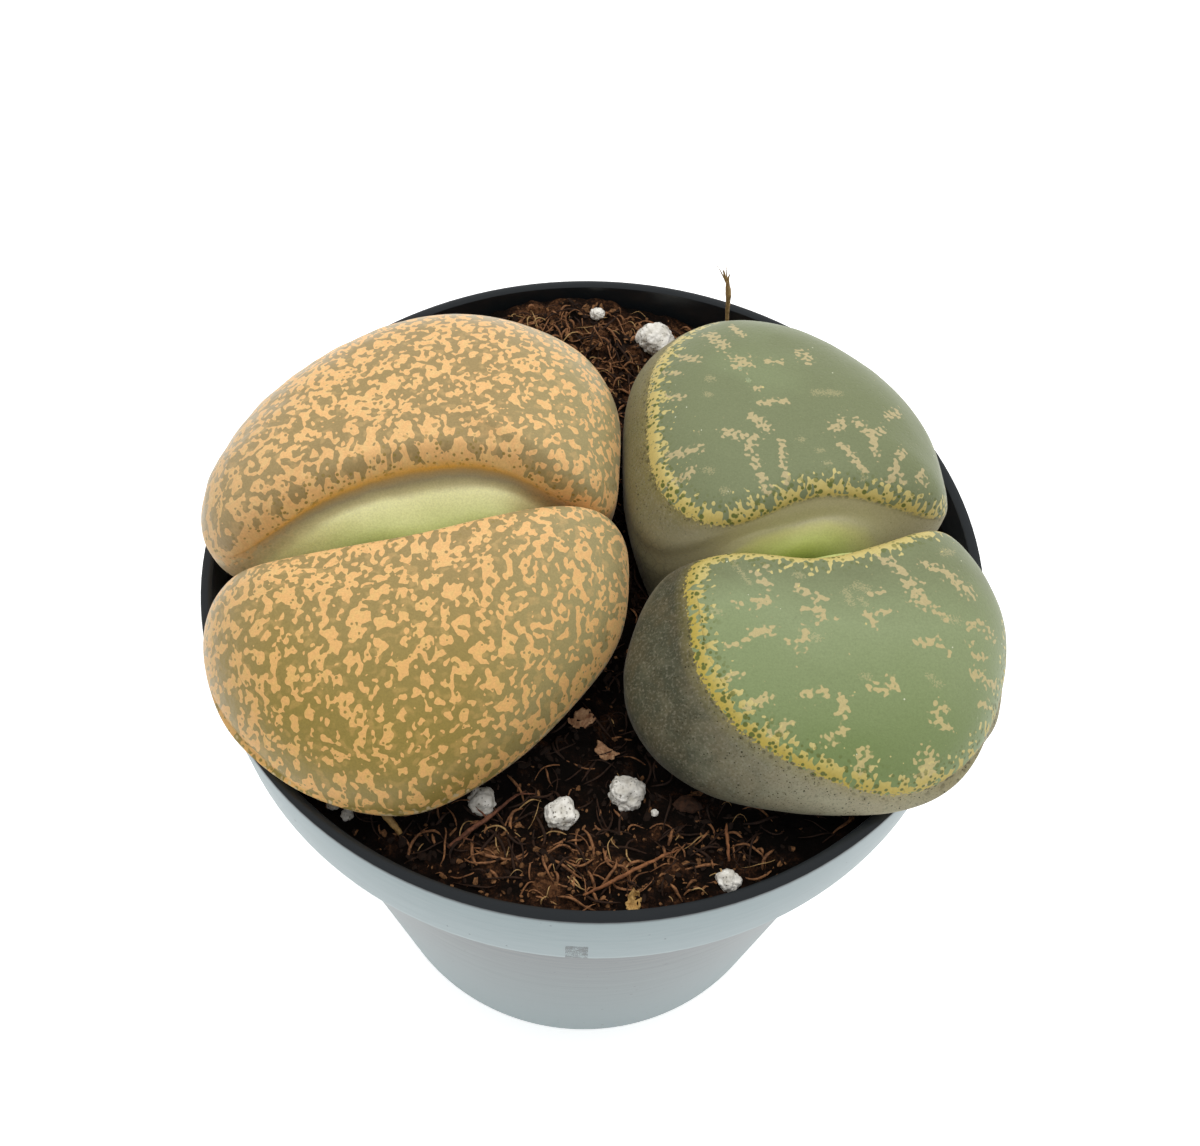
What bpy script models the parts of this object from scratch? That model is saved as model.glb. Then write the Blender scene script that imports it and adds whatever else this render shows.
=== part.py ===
"""Two lithops (living stones) in a small round nursery pot with peat, perlite and a few bits of litter.

Run it with: blender --background --python part.py
Metres, +Z up. The origin is the middle of the pot's flat base, on the surface that the pot stands on.
The fissures of both plants run roughly along X, and -Y is the front of the pot.
"""

import math

import bmesh
import bpy
import numpy as np
from mathutils import Matrix, Vector, noise

MM = 0.001

# ---- driving dimensions, in millimetres -------------------------------------------------------

RIM_RADIUS = 32.5
BASE_RADIUS = 22.6
POT_HEIGHT = 55.6
BAND_HEIGHT = 8.5
BAND_FOOT_RADIUS = 32.0
BODY_TOP_RADIUS = 30.0
WALL = 0.9
FLOOR = 1.2
DRAIN_HOLES = 6
DRAIN_HOLE_RADIUS = 2.4
DRAIN_CIRCLE_RADIUS = 15.5
POT_SEGMENTS = 48

GAP = 0.32
SOIL_LEVEL = 52.4
SOIL_RINGS = 9
ROOT_TOP = 43.5

# ---- the leaves: each is one half of a plant, a fleshy cone cut down the middle ------------------
# "edge" is the plan of the leaf where it is widest, (x, y, z): five points along the fissure, then
# eleven round the outside, anticlockwise from above.

LEAVES = {
    "left_back_leaf": {
        "edge": [
            (-28.9, -6.4, 62.2), (-22.4, -3.4, 65.0), (-14.6, 0.0, 66.0), (-6.8, 0.4, 65.4),
            (0.4, -1.0, 62.8), (1.6, 4.3, 62.4), (1.5, 10.2, 62.0), (-0.8, 16.0, 61.4),
            (-5.8, 19.9, 61.0), (-12.2, 21.2, 60.8), (-18.0, 19.8, 60.8), (-23.0, 16.2, 61.0),
            (-27.5, 11.3, 61.4), (-30.4, 6.2, 61.8), (-31.8, 0.8, 62.2), (-31.6, -3.8, 62.3),
        ],
        "dome": 4.8,
        "foot": -9.0,
        "plant": "left",
    },
    "left_front_leaf": {
        "edge": [
            (1.0, -1.5, 62.8), (-6.6, -3.9, 65.4), (-14.2, -6.7, 65.8), (-22.0, -8.4, 65.0),
            (-28.2, -9.3, 62.2), (-29.8, -12.6, 61.2), (-28.9, -16.6, 60.2), (-26.4, -20.3, 59.4),
            (-22.6, -23.4, 58.8), (-18.0, -25.4, 58.6), (-13.0, -25.9, 58.6), (-8.0, -24.5, 58.8),
            (-3.6, -21.4, 59.4), (0.0, -16.5, 60.0), (2.6, -10.9, 60.8), (3.0, -5.6, 61.8),
        ],
        "dome": 4.4,
        "foot": -9.0,
        "plant": "left",
    },
    "right_back_leaf": {
        "edge": [
            (5.2, -3.7, 61.8), (11.0, -3.4, 64.8), (15.4, -0.5, 65.4), (20.6, 0.4, 64.9),
            (27.3, -1.5, 62.0), (28.9, 3.2, 61.6), (28.5, 8.6, 61.2), (26.4, 13.6, 60.8),
            (22.7, 18.1, 60.6), (17.9, 21.4, 60.6), (12.6, 22.6, 60.8), (7.9, 21.5, 61.0),
            (4.4, 18.1, 61.0), (2.4, 13.2, 61.0), (2.1, 7.4, 61.0), (2.6, 1.4, 61.0),
        ],
        "dome": 3.8,
        "foot": 9.0,
        "plant": "right",
    },
    "right_front_leaf": {
        "edge": [
            (29.1, -2.4, 61.8), (24.2, -4.2, 64.9), (17.8, -6.1, 65.5), (12.0, -6.2, 65.1),
            (5.9, -6.1, 61.6), (3.4, -10.6, 60.6), (3.6, -15.8, 59.8), (5.8, -20.2, 59.2),
            (9.4, -23.2, 58.8), (13.8, -24.6, 58.6), (18.4, -24.9, 58.6), (23.0, -24.3, 58.8),
            (27.0, -22.0, 59.4), (30.0, -18.0, 60.0), (31.7, -12.6, 60.6), (31.7, -7.0, 61.2),
        ],
        "dome": 3.6,
        "foot": 9.0,
        "plant": "right",
    },
}
FISSURES = {"left": ((-29.5, -6.9), (1.0, -0.8)), "right": ((5.0, -5.2), (29.0, -1.6))}
FISSURE_POINTS = 5
FISSURE_HALF_GAP = 0.22

# Rings over the face: plan size and share of the dome's height, along the fissure and then round the outside.
FACE_RINGS = [
    (0.40, 0.92, 0.36, 0.94),
    (0.76, 0.50, 0.70, 0.72),
    (0.95, 0.12, 0.92, 0.34),
    (1.00, -0.12, 1.00, -0.14),
]
# Rings down the side: share of the fissure's opening and height in it, then plan size and height outside.
SIDE_RINGS = [
    (0.86, 61.8, 0.97, 57.9),
    (0.16, 57.6, 0.86, 55.2),
    (0.00, 53.6, 0.74, 52.2),
    (0.00, 44.8, 0.42, 44.8),
    (0.00, 43.8, 0.38, 43.8),
]
LIP_CLEAR_RADIUS = 30.2

PERLITE = {
    "perlite_grain_1": ((-8.1, -22.1), 1.15),
    "perlite_grain_2": ((-1.7, -22.8), 1.4),
    "perlite_grain_3": ((3.2, -20.7), 1.7),
    "perlite_grain_4": ((10.9, -27.6), 1.15),
    "perlite_grain_5": ((4.9, 26.8), 1.9),
    "perlite_grain_6": ((-0.8, 29.0), 0.75),
    "perlite_grain_7": ((-18.5, -22.4), 0.7),
    "perlite_grain_8": ((-16.9, -23.7), 0.7),
    "perlite_grain_9": ((5.6, -23.1), 0.6),
}
HUSKS = {
    "dry_husk_1": ((-0.4, -14.4), 0.85, "husk"),
    "dry_husk_2": ((1.5, -17.2), 0.8, "husk"),
    "bark_chip": ((7.9, -21.6), 0.9, "bark"),
}
# Litter on the peat and the dry stalk: (x, y, height over the peat), the radius and the finish.
TWIGS = {
    "long_fibre": (
        [(0.2, -29.0, 0.1), (2.9, -27.7, 0.7), (5.6, -26.3, 0.9), (8.2, -24.9, 0.6)], 0.24, "fibre"
    ),
    "dark_twig": (
        [(-10.6, -27.2, 0.2), (-8.5, -25.2, 0.8), (-6.1, -22.4, 1.0), (-4.0, -20.4, 1.2)], 0.30, "bark"
    ),
    "pale_curl": ([(-15.8, -22.9, 0.9), (-15.0, -23.9, 1.3), (-13.7, -25.1, 0.6)], 0.34, "husk"),
    "pale_splinter": ([(10.8, -23.4, 1.0), (10.9, -24.9, 0.7), (11.0, -26.0, 0.5)], 0.26, "husk"),
    "dry_stalk": (
        [(11.6, 26.6, 0.2), (11.5, 26.9, 3.0), (11.3, 27.0, 6.0), (11.1, 27.0, 9.2), (10.5, 26.9, 10.7)],
        0.36,
        "stalk",
    ),
}

# Each plant's taproot, from under the foot of its two leaves.
ROOTS = {
    "left_root": [
        (-11.0, -3.2, ROOT_TOP), (-11.2, -3.0, 36.0), (-12.0, -2.2, 27.0), (-11.4, -1.4, 17.0), (-12.2, -0.6, 8.0),
    ],
    "right_root": [
        (11.3, -4.2, ROOT_TOP), (11.5, -3.8, 36.0), (12.3, -2.6, 27.0), (11.6, -1.4, 17.0), (12.4, -0.4, 8.0),
    ],
}
ROOT_TOP_RADIUS = 4.4
ROOT_TIP_RADIUS = 0.5

COLOURS = {
    "pot": ((0.016, 0.020, 0.026), 0.35),
    "soil": ((0.045, 0.022, 0.013), 0.95),
    "left_leaf": ((0.42, 0.31, 0.13), 0.5),
    "right_leaf": ((0.22, 0.26, 0.14), 0.5),
    "perlite": ((0.75, 0.75, 0.73), 0.95),
    "husk": ((0.42, 0.27, 0.14), 0.8),
    "bark": ((0.07, 0.03, 0.02), 0.85),
    "fibre": ((0.20, 0.07, 0.03), 0.8),
    "stalk": ((0.33, 0.15, 0.10), 0.8),
    "root": ((0.36, 0.24, 0.14), 0.85),
}


# ---- helpers ---------------------------------------------------------------------------------


def clear_scene():
    for obj in list(bpy.data.objects):
        bpy.data.objects.remove(obj, do_unlink=True)


def material(name):
    found = bpy.data.materials.get(name)
    if found:
        return found
    colour, roughness = COLOURS[name]
    made = bpy.data.materials.new(name)
    made.use_nodes = True
    shader = made.node_tree.nodes["Principled BSDF"]
    shader.inputs["Base Color"].default_value = (*colour, 1)
    shader.inputs["Roughness"].default_value = roughness
    shader.inputs["Metallic"].default_value = 0
    return made


def mesh_object(name, bm, finish, sharp_over=180):
    """A mesh in millimetres becomes a named object in metres, its faces pointing outwards."""
    bmesh.ops.recalc_face_normals(bm, faces=bm.faces)
    bm.transform(Matrix.Scale(MM, 4))
    mesh = bpy.data.meshes.new(name)
    bm.to_mesh(mesh)
    bm.free()
    mesh.shade_smooth()
    mesh.set_sharp_from_angle(angle=math.radians(sharp_over))
    obj = bpy.data.objects.new(name, mesh)
    bpy.context.scene.collection.objects.link(obj)
    mesh.materials.append(material(finish))
    return obj


def loft(rings):
    """A closed body through rings of equal point counts: extruded from ring to ring, both ends filled with a grid."""
    bm = bmesh.new()
    loop = bmesh.ops.create_circle(bm, segments=len(rings[0]), radius=1)["verts"]
    for vert, place in zip(loop, rings[0]):
        vert.co = place
    fill_end(bm, loop)
    for places in rings[1:]:
        edges = [bm.edges.get(pair) for pair in zip(loop, loop[1:] + loop[:1])]
        made = bmesh.ops.extrude_edge_only(bm, edges=edges)["geom"]
        new = {item for item in made if isinstance(item, bmesh.types.BMVert)}
        loop = [next(e.other_vert(v) for e in v.link_edges if e.other_vert(v) in new) for v in loop]
        for vert, place in zip(loop, places):
            vert.co = place
    fill_end(bm, loop)
    return bm


def fill_end(bm, loop):
    """Fills a ring of 4n points with a grid of n by n faces."""
    quarter = len(loop) // 4
    edges = [bm.edges.get(pair) for pair in zip(loop, loop[1:] + loop[:1])]
    bmesh.ops.grid_fill(bm, edges=edges[:quarter] + edges[2 * quarter : 3 * quarter])


def clearance_cutter(obj, clearance=GAP):
    """A hidden copy of obj, swollen by the clearance, that the soil is cut with."""
    cutter = obj.copy()
    cutter.name = obj.name + "_cutter"
    bpy.context.scene.collection.objects.link(cutter)
    swell = cutter.modifiers.new("clearance", "DISPLACE")
    swell.mid_level = 0
    swell.strength = clearance * MM
    cutter.hide_render = True
    cutter.display_type = "WIRE"
    return cutter


def soil_height(x, y):
    """Height of the peat: lumpy, a little lower in the middle, heaped against the rim at the back."""
    lumps = 0.9 * noise.noise((x * 0.16, y * 0.16, 3.1)) + 0.5 * noise.noise((x * 0.45, y * 0.45, 8.7))
    heap = 2.4 * math.exp(-((x + 4.0) ** 2 + (y - 30.0) ** 2) / 60.0)
    return SOIL_LEVEL + lumps + heap


# ---- the pot ---------------------------------------------------------------------------------


def pot_profile():
    """Half section from the middle of the underside, round the outside and back down the inside."""
    band_z = POT_HEIGHT - BAND_HEIGHT
    inner_band = BAND_FOOT_RADIUS - WALL
    inner_body = BODY_TOP_RADIUS - WALL
    return [
        (0, 0),
        (BASE_RADIUS - 0.8, 0),
        (BASE_RADIUS, 0.8),
        (BODY_TOP_RADIUS, band_z),
        (BAND_FOOT_RADIUS - 0.25, band_z),
        (BAND_FOOT_RADIUS, band_z + 0.25),
        (RIM_RADIUS, POT_HEIGHT - 0.3),
        (RIM_RADIUS - 0.25, POT_HEIGHT),
        (RIM_RADIUS - 0.85, POT_HEIGHT),
        (RIM_RADIUS - 1.05, POT_HEIGHT - 0.3),
        (inner_band, band_z + WALL + 0.4),
        (inner_body, band_z + WALL - 0.2),
        (BASE_RADIUS - WALL, FLOOR + 0.5),
        (BASE_RADIUS - WALL - 0.6, FLOOR),
        (0, FLOOR),
    ]


def spun(profile, segments):
    bm = bmesh.new()
    verts = [bm.verts.new((r, 0, z)) for r, z in profile]
    edges = [bm.edges.new(pair) for pair in zip(verts, verts[1:])]
    bmesh.ops.spin(
        bm, geom=verts + edges, cent=(0, 0, 0), axis=(0, 0, 1), angle=math.tau, steps=segments, use_merge=True
    )
    bmesh.ops.remove_doubles(bm, verts=bm.verts, dist=0.01)
    return bm


def make_pot():
    pot = mesh_object("pot", spun(pot_profile(), POT_SEGMENTS), "pot", sharp_over=35)
    for n in range(DRAIN_HOLES):
        turn = math.tau * (n + 0.5) / DRAIN_HOLES
        place = (DRAIN_CIRCLE_RADIUS * math.cos(turn), DRAIN_CIRCLE_RADIUS * math.sin(turn), FLOOR / 2)
        bm = bmesh.new()
        bmesh.ops.create_cone(
            bm, cap_ends=True, segments=14, radius1=DRAIN_HOLE_RADIUS, radius2=DRAIN_HOLE_RADIUS,
            depth=FLOOR + 3, matrix=Matrix.Translation(place),
        )
        cutter = mesh_object(f"drain_cutter_{n + 1}", bm, "pot")
        cutter.hide_render = True
        cutter.display_type = "WIRE"
        cut = pot.modifiers.new(f"drain_{n + 1}", "BOOLEAN")
        cut.object = cutter
        cut.operation = "DIFFERENCE"
    return pot


# ---- the plants ------------------------------------------------------------------------------


def level_on(slope, place):
    return slope[0] * place.x + slope[1] * place.y + slope[2]


def leaf_rings(leaf):
    """The leaf's control rings, from the top of its face down to its foot."""
    edge = [Vector(p) for p in leaf["edge"]]
    count = len(edge)
    # A subdivided ring shrinks towards its chords, so its points are pushed out by what it loses.
    pushed = [p - (edge[i - 1] - 2 * p + edge[(i + 1) % count]) / 6 for i, p in enumerate(edge)]
    centre = sum(edge, Vector()) / count
    slope = np.linalg.lstsq([(p.x, p.y, 1) for p in edge], [p.z for p in edge], rcond=None)[0]
    start, end = (Vector((*p, 0)) for p in FISSURES[leaf["plant"]])
    along = (end - start).normalized()
    across = Vector((-along.y, along.x, 0))
    if (centre - start).dot(across) < 0:
        across = -across
    foot = (leaf["foot"] - start.x) / along.x
    rings = []
    for fissure_size, fissure_height, size, height in FACE_RINGS:
        ring = []
        for i, p in enumerate(pushed):
            share = fissure_size if i < FISSURE_POINTS else size
            place = centre.lerp(p, share)
            place.z = level_on(slope, place) + (p.z - level_on(slope, p)) * share**3
            place.z += leaf["dome"] * (fissure_height if i < FISSURE_POINTS else height)
            ring.append(place)
        rings.append(ring)
    for opening, fissure_level, size, level in SIDE_RINGS:
        ring = []
        for i, p in enumerate(pushed):
            u = foot + size * ((p - start).dot(along) - foot)
            v = max((p - start).dot(across) - FISSURE_HALF_GAP, 0)
            v *= opening if i < FISSURE_POINTS else size
            place = start + along * u + across * (v + FISSURE_HALF_GAP)
            if level < POT_HEIGHT and place.length > LIP_CLEAR_RADIUS:
                place *= LIP_CLEAR_RADIUS / place.length
            on_fissure = 0 < i < FISSURE_POINTS - 1
            place.z = fissure_level if on_fissure else level
            ring.append(place)
        rings.append(ring)
    return rings


def make_leaf(name):
    leaf = LEAVES[name]
    obj = mesh_object(name, loft(leaf_rings(leaf)), leaf["plant"] + "_leaf")
    smooth = obj.modifiers.new("fleshy", "SUBSURF")
    smooth.levels = smooth.render_levels = 1
    return obj


def tapered_tube(points, radii, sides=8):
    """A tube along points, one radius for each, its rings square to the path."""
    path = [Vector(p) for p in points]
    rings = []
    for i, (here, radius) in enumerate(zip(path, radii)):
        way = (path[min(i + 1, len(path) - 1)] - path[max(i - 1, 0)]).normalized()
        side = way.cross(Vector((0.3, 0.9, 0.1))).normalized()
        up = way.cross(side)
        turns = [math.tau * n / sides for n in range(sides)]
        rings.append([here + side * radius * math.cos(t) + up * radius * math.sin(t) for t in turns])
    return loft(rings)


def make_root(name):
    path = ROOTS[name]
    share = [i / (len(path) - 1) for i in range(len(path))]
    radii = [ROOT_TOP_RADIUS + (ROOT_TIP_RADIUS - ROOT_TOP_RADIUS) * s**0.5 for s in share]
    obj = mesh_object(name, tapered_tube(path, radii), "root")
    smooth = obj.modifiers.new("round", "SUBSURF")
    smooth.levels = smooth.render_levels = 1
    return obj


# ---- what lies on the peat ---------------------------------------------------------------------


def make_grain(name, place, radius, finish, flat=0.82):
    """A rough crumb, half sunk in the peat."""
    x, y = place
    bm = bmesh.new()
    bmesh.ops.create_icosphere(bm, subdivisions=2, radius=1)
    for vert in bm.verts:
        bump = noise.noise(vert.co * 1.7 + Vector((x, y, radius)))
        vert.co *= radius * (1 + 0.22 * bump)
        vert.co.z *= flat
    bm.transform(Matrix.Translation((x, y, soil_height(x, y) + radius * 0.32)))
    bmesh.ops.dissolve_degenerate(bm, dist=0.02, edges=bm.edges)
    return mesh_object(name, bm, finish, sharp_over=20)


def make_twig(name, points, radius, finish):
    path = [(x, y, soil_height(x, y) + up) for x, y, up in points]
    last = len(path) - 1
    radii = [radius * (1 - 0.45 * abs(2 * i / last - 1) ** 2) for i in range(last + 1)]
    return mesh_object(name, tapered_tube(path, radii), finish)


def make_soil(cutters):
    """The peat: it fills the pot up to its lumpy top, and has a seat for each piece that stands in it."""
    band_z = POT_HEIGHT - BAND_HEIGHT
    lower = BASE_RADIUS - WALL - GAP
    upper = BODY_TOP_RADIUS - WALL - GAP
    rim = BAND_FOOT_RADIUS - WALL - GAP - 0.05
    outline = [
        (0, FLOOR + GAP),
        (lower - 0.7, FLOOR + GAP),
        (lower, FLOOR + GAP + 0.7),
        (upper, band_z + WALL),
        (rim - 0.1, band_z + WALL + 0.8),
        (rim, SOIL_LEVEL - 1.5),
    ]
    top = [(rim * (1 - (n + 1) / SOIL_RINGS), SOIL_LEVEL) for n in range(-1, SOIL_RINGS)]
    bm = spun(outline + top, POT_SEGMENTS)
    for vert in bm.verts:
        if abs(vert.co.z - SOIL_LEVEL) < 0.01:
            vert.co.z = soil_height(vert.co.x, vert.co.y)
    soil = mesh_object("soil", bm, "soil", sharp_over=25)
    for cutter in cutters:
        seat = soil.modifiers.new("seat_for_" + cutter.name, "BOOLEAN")
        seat.object = cutter
        seat.operation = "DIFFERENCE"
        seat.solver = "EXACT"
    return soil


def main():
    clear_scene()
    make_pot()
    planted = [make_leaf(name) for name in LEAVES]
    planted += [make_root(name) for name in ROOTS]
    planted += [make_grain(name, place, radius, "perlite") for name, (place, radius) in PERLITE.items()]
    planted += [make_grain(name, *husk, flat=0.6) for name, husk in HUSKS.items()]
    planted += [make_twig(name, *twig) for name, twig in TWIGS.items()]
    make_soil([clearance_cutter(obj) for obj in planted])


main()
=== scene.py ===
"""Visual model of two living stones (lithops) in a small nursery pot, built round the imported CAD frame.

Lengths inside the modelling functions are millimetres; pieces are scaled to metres as they are stored.
"""

import math
import random
from functools import partial

import bmesh
import bpy
import numpy as np
from bpy.props import FloatProperty, FloatVectorProperty, IntProperty, PointerProperty
from mathutils import Matrix, Vector, noise
from mathutils.bvhtree import BVHTree
from mathutils.kdtree import KDTree


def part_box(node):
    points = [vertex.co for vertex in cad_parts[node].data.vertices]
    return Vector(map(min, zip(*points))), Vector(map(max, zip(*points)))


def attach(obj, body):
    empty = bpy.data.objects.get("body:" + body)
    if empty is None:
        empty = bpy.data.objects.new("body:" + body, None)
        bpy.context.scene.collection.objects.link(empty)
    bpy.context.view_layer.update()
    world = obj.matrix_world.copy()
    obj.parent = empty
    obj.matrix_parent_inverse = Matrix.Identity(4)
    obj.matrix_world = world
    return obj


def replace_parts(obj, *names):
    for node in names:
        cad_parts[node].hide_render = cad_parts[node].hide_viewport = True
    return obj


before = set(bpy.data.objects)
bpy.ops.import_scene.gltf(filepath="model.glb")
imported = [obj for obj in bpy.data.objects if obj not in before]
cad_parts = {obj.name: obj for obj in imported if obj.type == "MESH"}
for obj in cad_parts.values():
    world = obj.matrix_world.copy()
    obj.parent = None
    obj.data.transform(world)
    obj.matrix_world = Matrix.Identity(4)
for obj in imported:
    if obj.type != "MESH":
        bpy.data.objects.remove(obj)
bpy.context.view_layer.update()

bl_info = {
    "name": "Potted Lithops",
    "version": (1, 0, 0),
    "blender": (4, 5, 0),
    "location": "3D View > Sidebar > Lithops",
    "description": "Builds two lithops in a nursery pot piece by piece",
    "category": "Add Mesh",
}

MM = 0.001
POT_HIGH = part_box("pot")[1]
NOISE_SEED = 7

# The offsets of noise vectors follow the clock unless they are seeded.
noise.seed_set(NOISE_SEED)

# ---- shapes in millimetres ---------------------------------------------------------------------

BAND_HEIGHT = 8.5
BAND_FOOT_INSET = 0.5
BODY_TOP_INSET = 2.5
FLOOR = 1.2
POT_STEPS = 144
DRAIN_HOLES = 6
DRAIN_HOLE_RADIUS = 2.4
DRAIN_CIRCLE_RADIUS = 15.5
SOIL_LEVEL = 52.4
RIM_TOP = POT_HIGH.z / MM
SCUFF = (-0.1, RIM_TOP - 6.9, 0.85, 1.5)  # on the band's front: middle x and z, and half the width and height
INSIDE_RIM = 30.0

# Each leaf is one half of a plant. "edge" is its plan where it is widest, (x, y, z): five points
# along the fissure, then eleven round the outside, anticlockwise from above. "margin" is how far in
# from the edge the window's margin lies, point by point.
LEAVES = {
    "left_back_leaf": {
        "edge": [
            (-28.9, -5.8, 62.2), (-22.4, -2.8, 65.0), (-14.6, 0.6, 66.0), (-6.8, 1.0, 65.4),
            (0.6, -0.4, 62.8), (2.0, 4.9, 62.4), (1.8, 10.8, 62.0), (-0.6, 16.6, 61.4),
            (-5.8, 20.5, 61.0), (-12.2, 21.8, 60.8), (-18.0, 20.4, 60.8), (-23.0, 16.8, 61.0),
            (-27.5, 11.9, 61.4), (-30.4, 6.8, 61.8), (-31.8, 1.4, 62.2), (-31.6, -3.2, 62.3),
        ],
        "margin": [0.1] * 16,
        "dome": 4.7,
        "foot": -9.0,
        "plant": "left",
    },
    "left_front_leaf": {
        "edge": [
            (1.0, -0.9, 62.8), (-6.6, -3.3, 65.4), (-14.2, -6.1, 65.8), (-22.0, -7.8, 65.0),
            (-28.2, -8.7, 62.2), (-29.8, -12.0, 61.2), (-28.9, -16.0, 60.2), (-26.4, -19.7, 59.4),
            (-22.6, -22.8, 58.8), (-18.0, -24.8, 58.6), (-13.0, -25.3, 58.6), (-8.5, -23.2, 58.8),
            (-4.3, -19.9, 59.4), (-0.5, -15.5, 60.0), (2.5, -10.3, 60.8), (3.0, -5.0, 61.8),
        ],
        "margin": [0.1] * 16,
        "dome": 4.4,
        "foot": -9.0,
        "plant": "left",
    },
    "right_back_leaf": {
        "edge": [
            (5.2, -3.1, 61.8), (11.0, -2.7, 64.8), (15.6, -0.7, 65.4), (21.0, 0.3, 64.9),
            (27.7, 0.9, 62.6), (28.9, 4.4, 61.8), (28.5, 9.2, 61.2), (26.4, 14.2, 60.8),
            (22.7, 18.7, 60.6), (17.9, 22.0, 60.6), (12.6, 23.2, 60.8), (7.9, 22.1, 61.0),
            (4.1, 18.7, 61.0), (2.1, 13.8, 61.0), (1.85, 8.0, 61.0), (2.3, 2.0, 61.0),
        ],
        "margin": [2.2, 0.1, 0.1, 0.1, 0.1, 0.1, 0.1, 0.1, 0.1, 0.1, 0.5, 1.2, 1.9, 2.1, 2.1, 2.3],
        "dome": 3.8,
        "foot": 9.0,
        "plant": "right",
    },
    "right_front_leaf": {
        "edge": [
            (29.2, -1.3, 61.8), (24.4, -3.2, 64.9), (17.6, -6.1, 65.5), (12.0, -5.8, 65.1),
            (5.8, -5.1, 61.6), (3.0, -10.0, 60.6), (2.5, -15.2, 59.8), (4.8, -19.7, 59.2),
            (9.0, -22.5, 58.8), (13.8, -23.6, 58.6), (18.4, -23.8, 58.6), (23.0, -23.3, 58.8),
            (27.1, -21.2, 59.4), (30.3, -17.3, 60.0), (32.1, -12.0, 60.6), (32.1, -6.4, 61.2),
        ],
        "margin": [0.1, 0.1, 0.1, 0.1, 2.1, 4.3, 5.2, 4.8, 3.5, 2.2, 1.2, 0.5, 0.2, 0.1, 0.1, 0.1],
        "dome": 3.6,
        "foot": 9.0,
        "plant": "right",
    },
}
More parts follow.
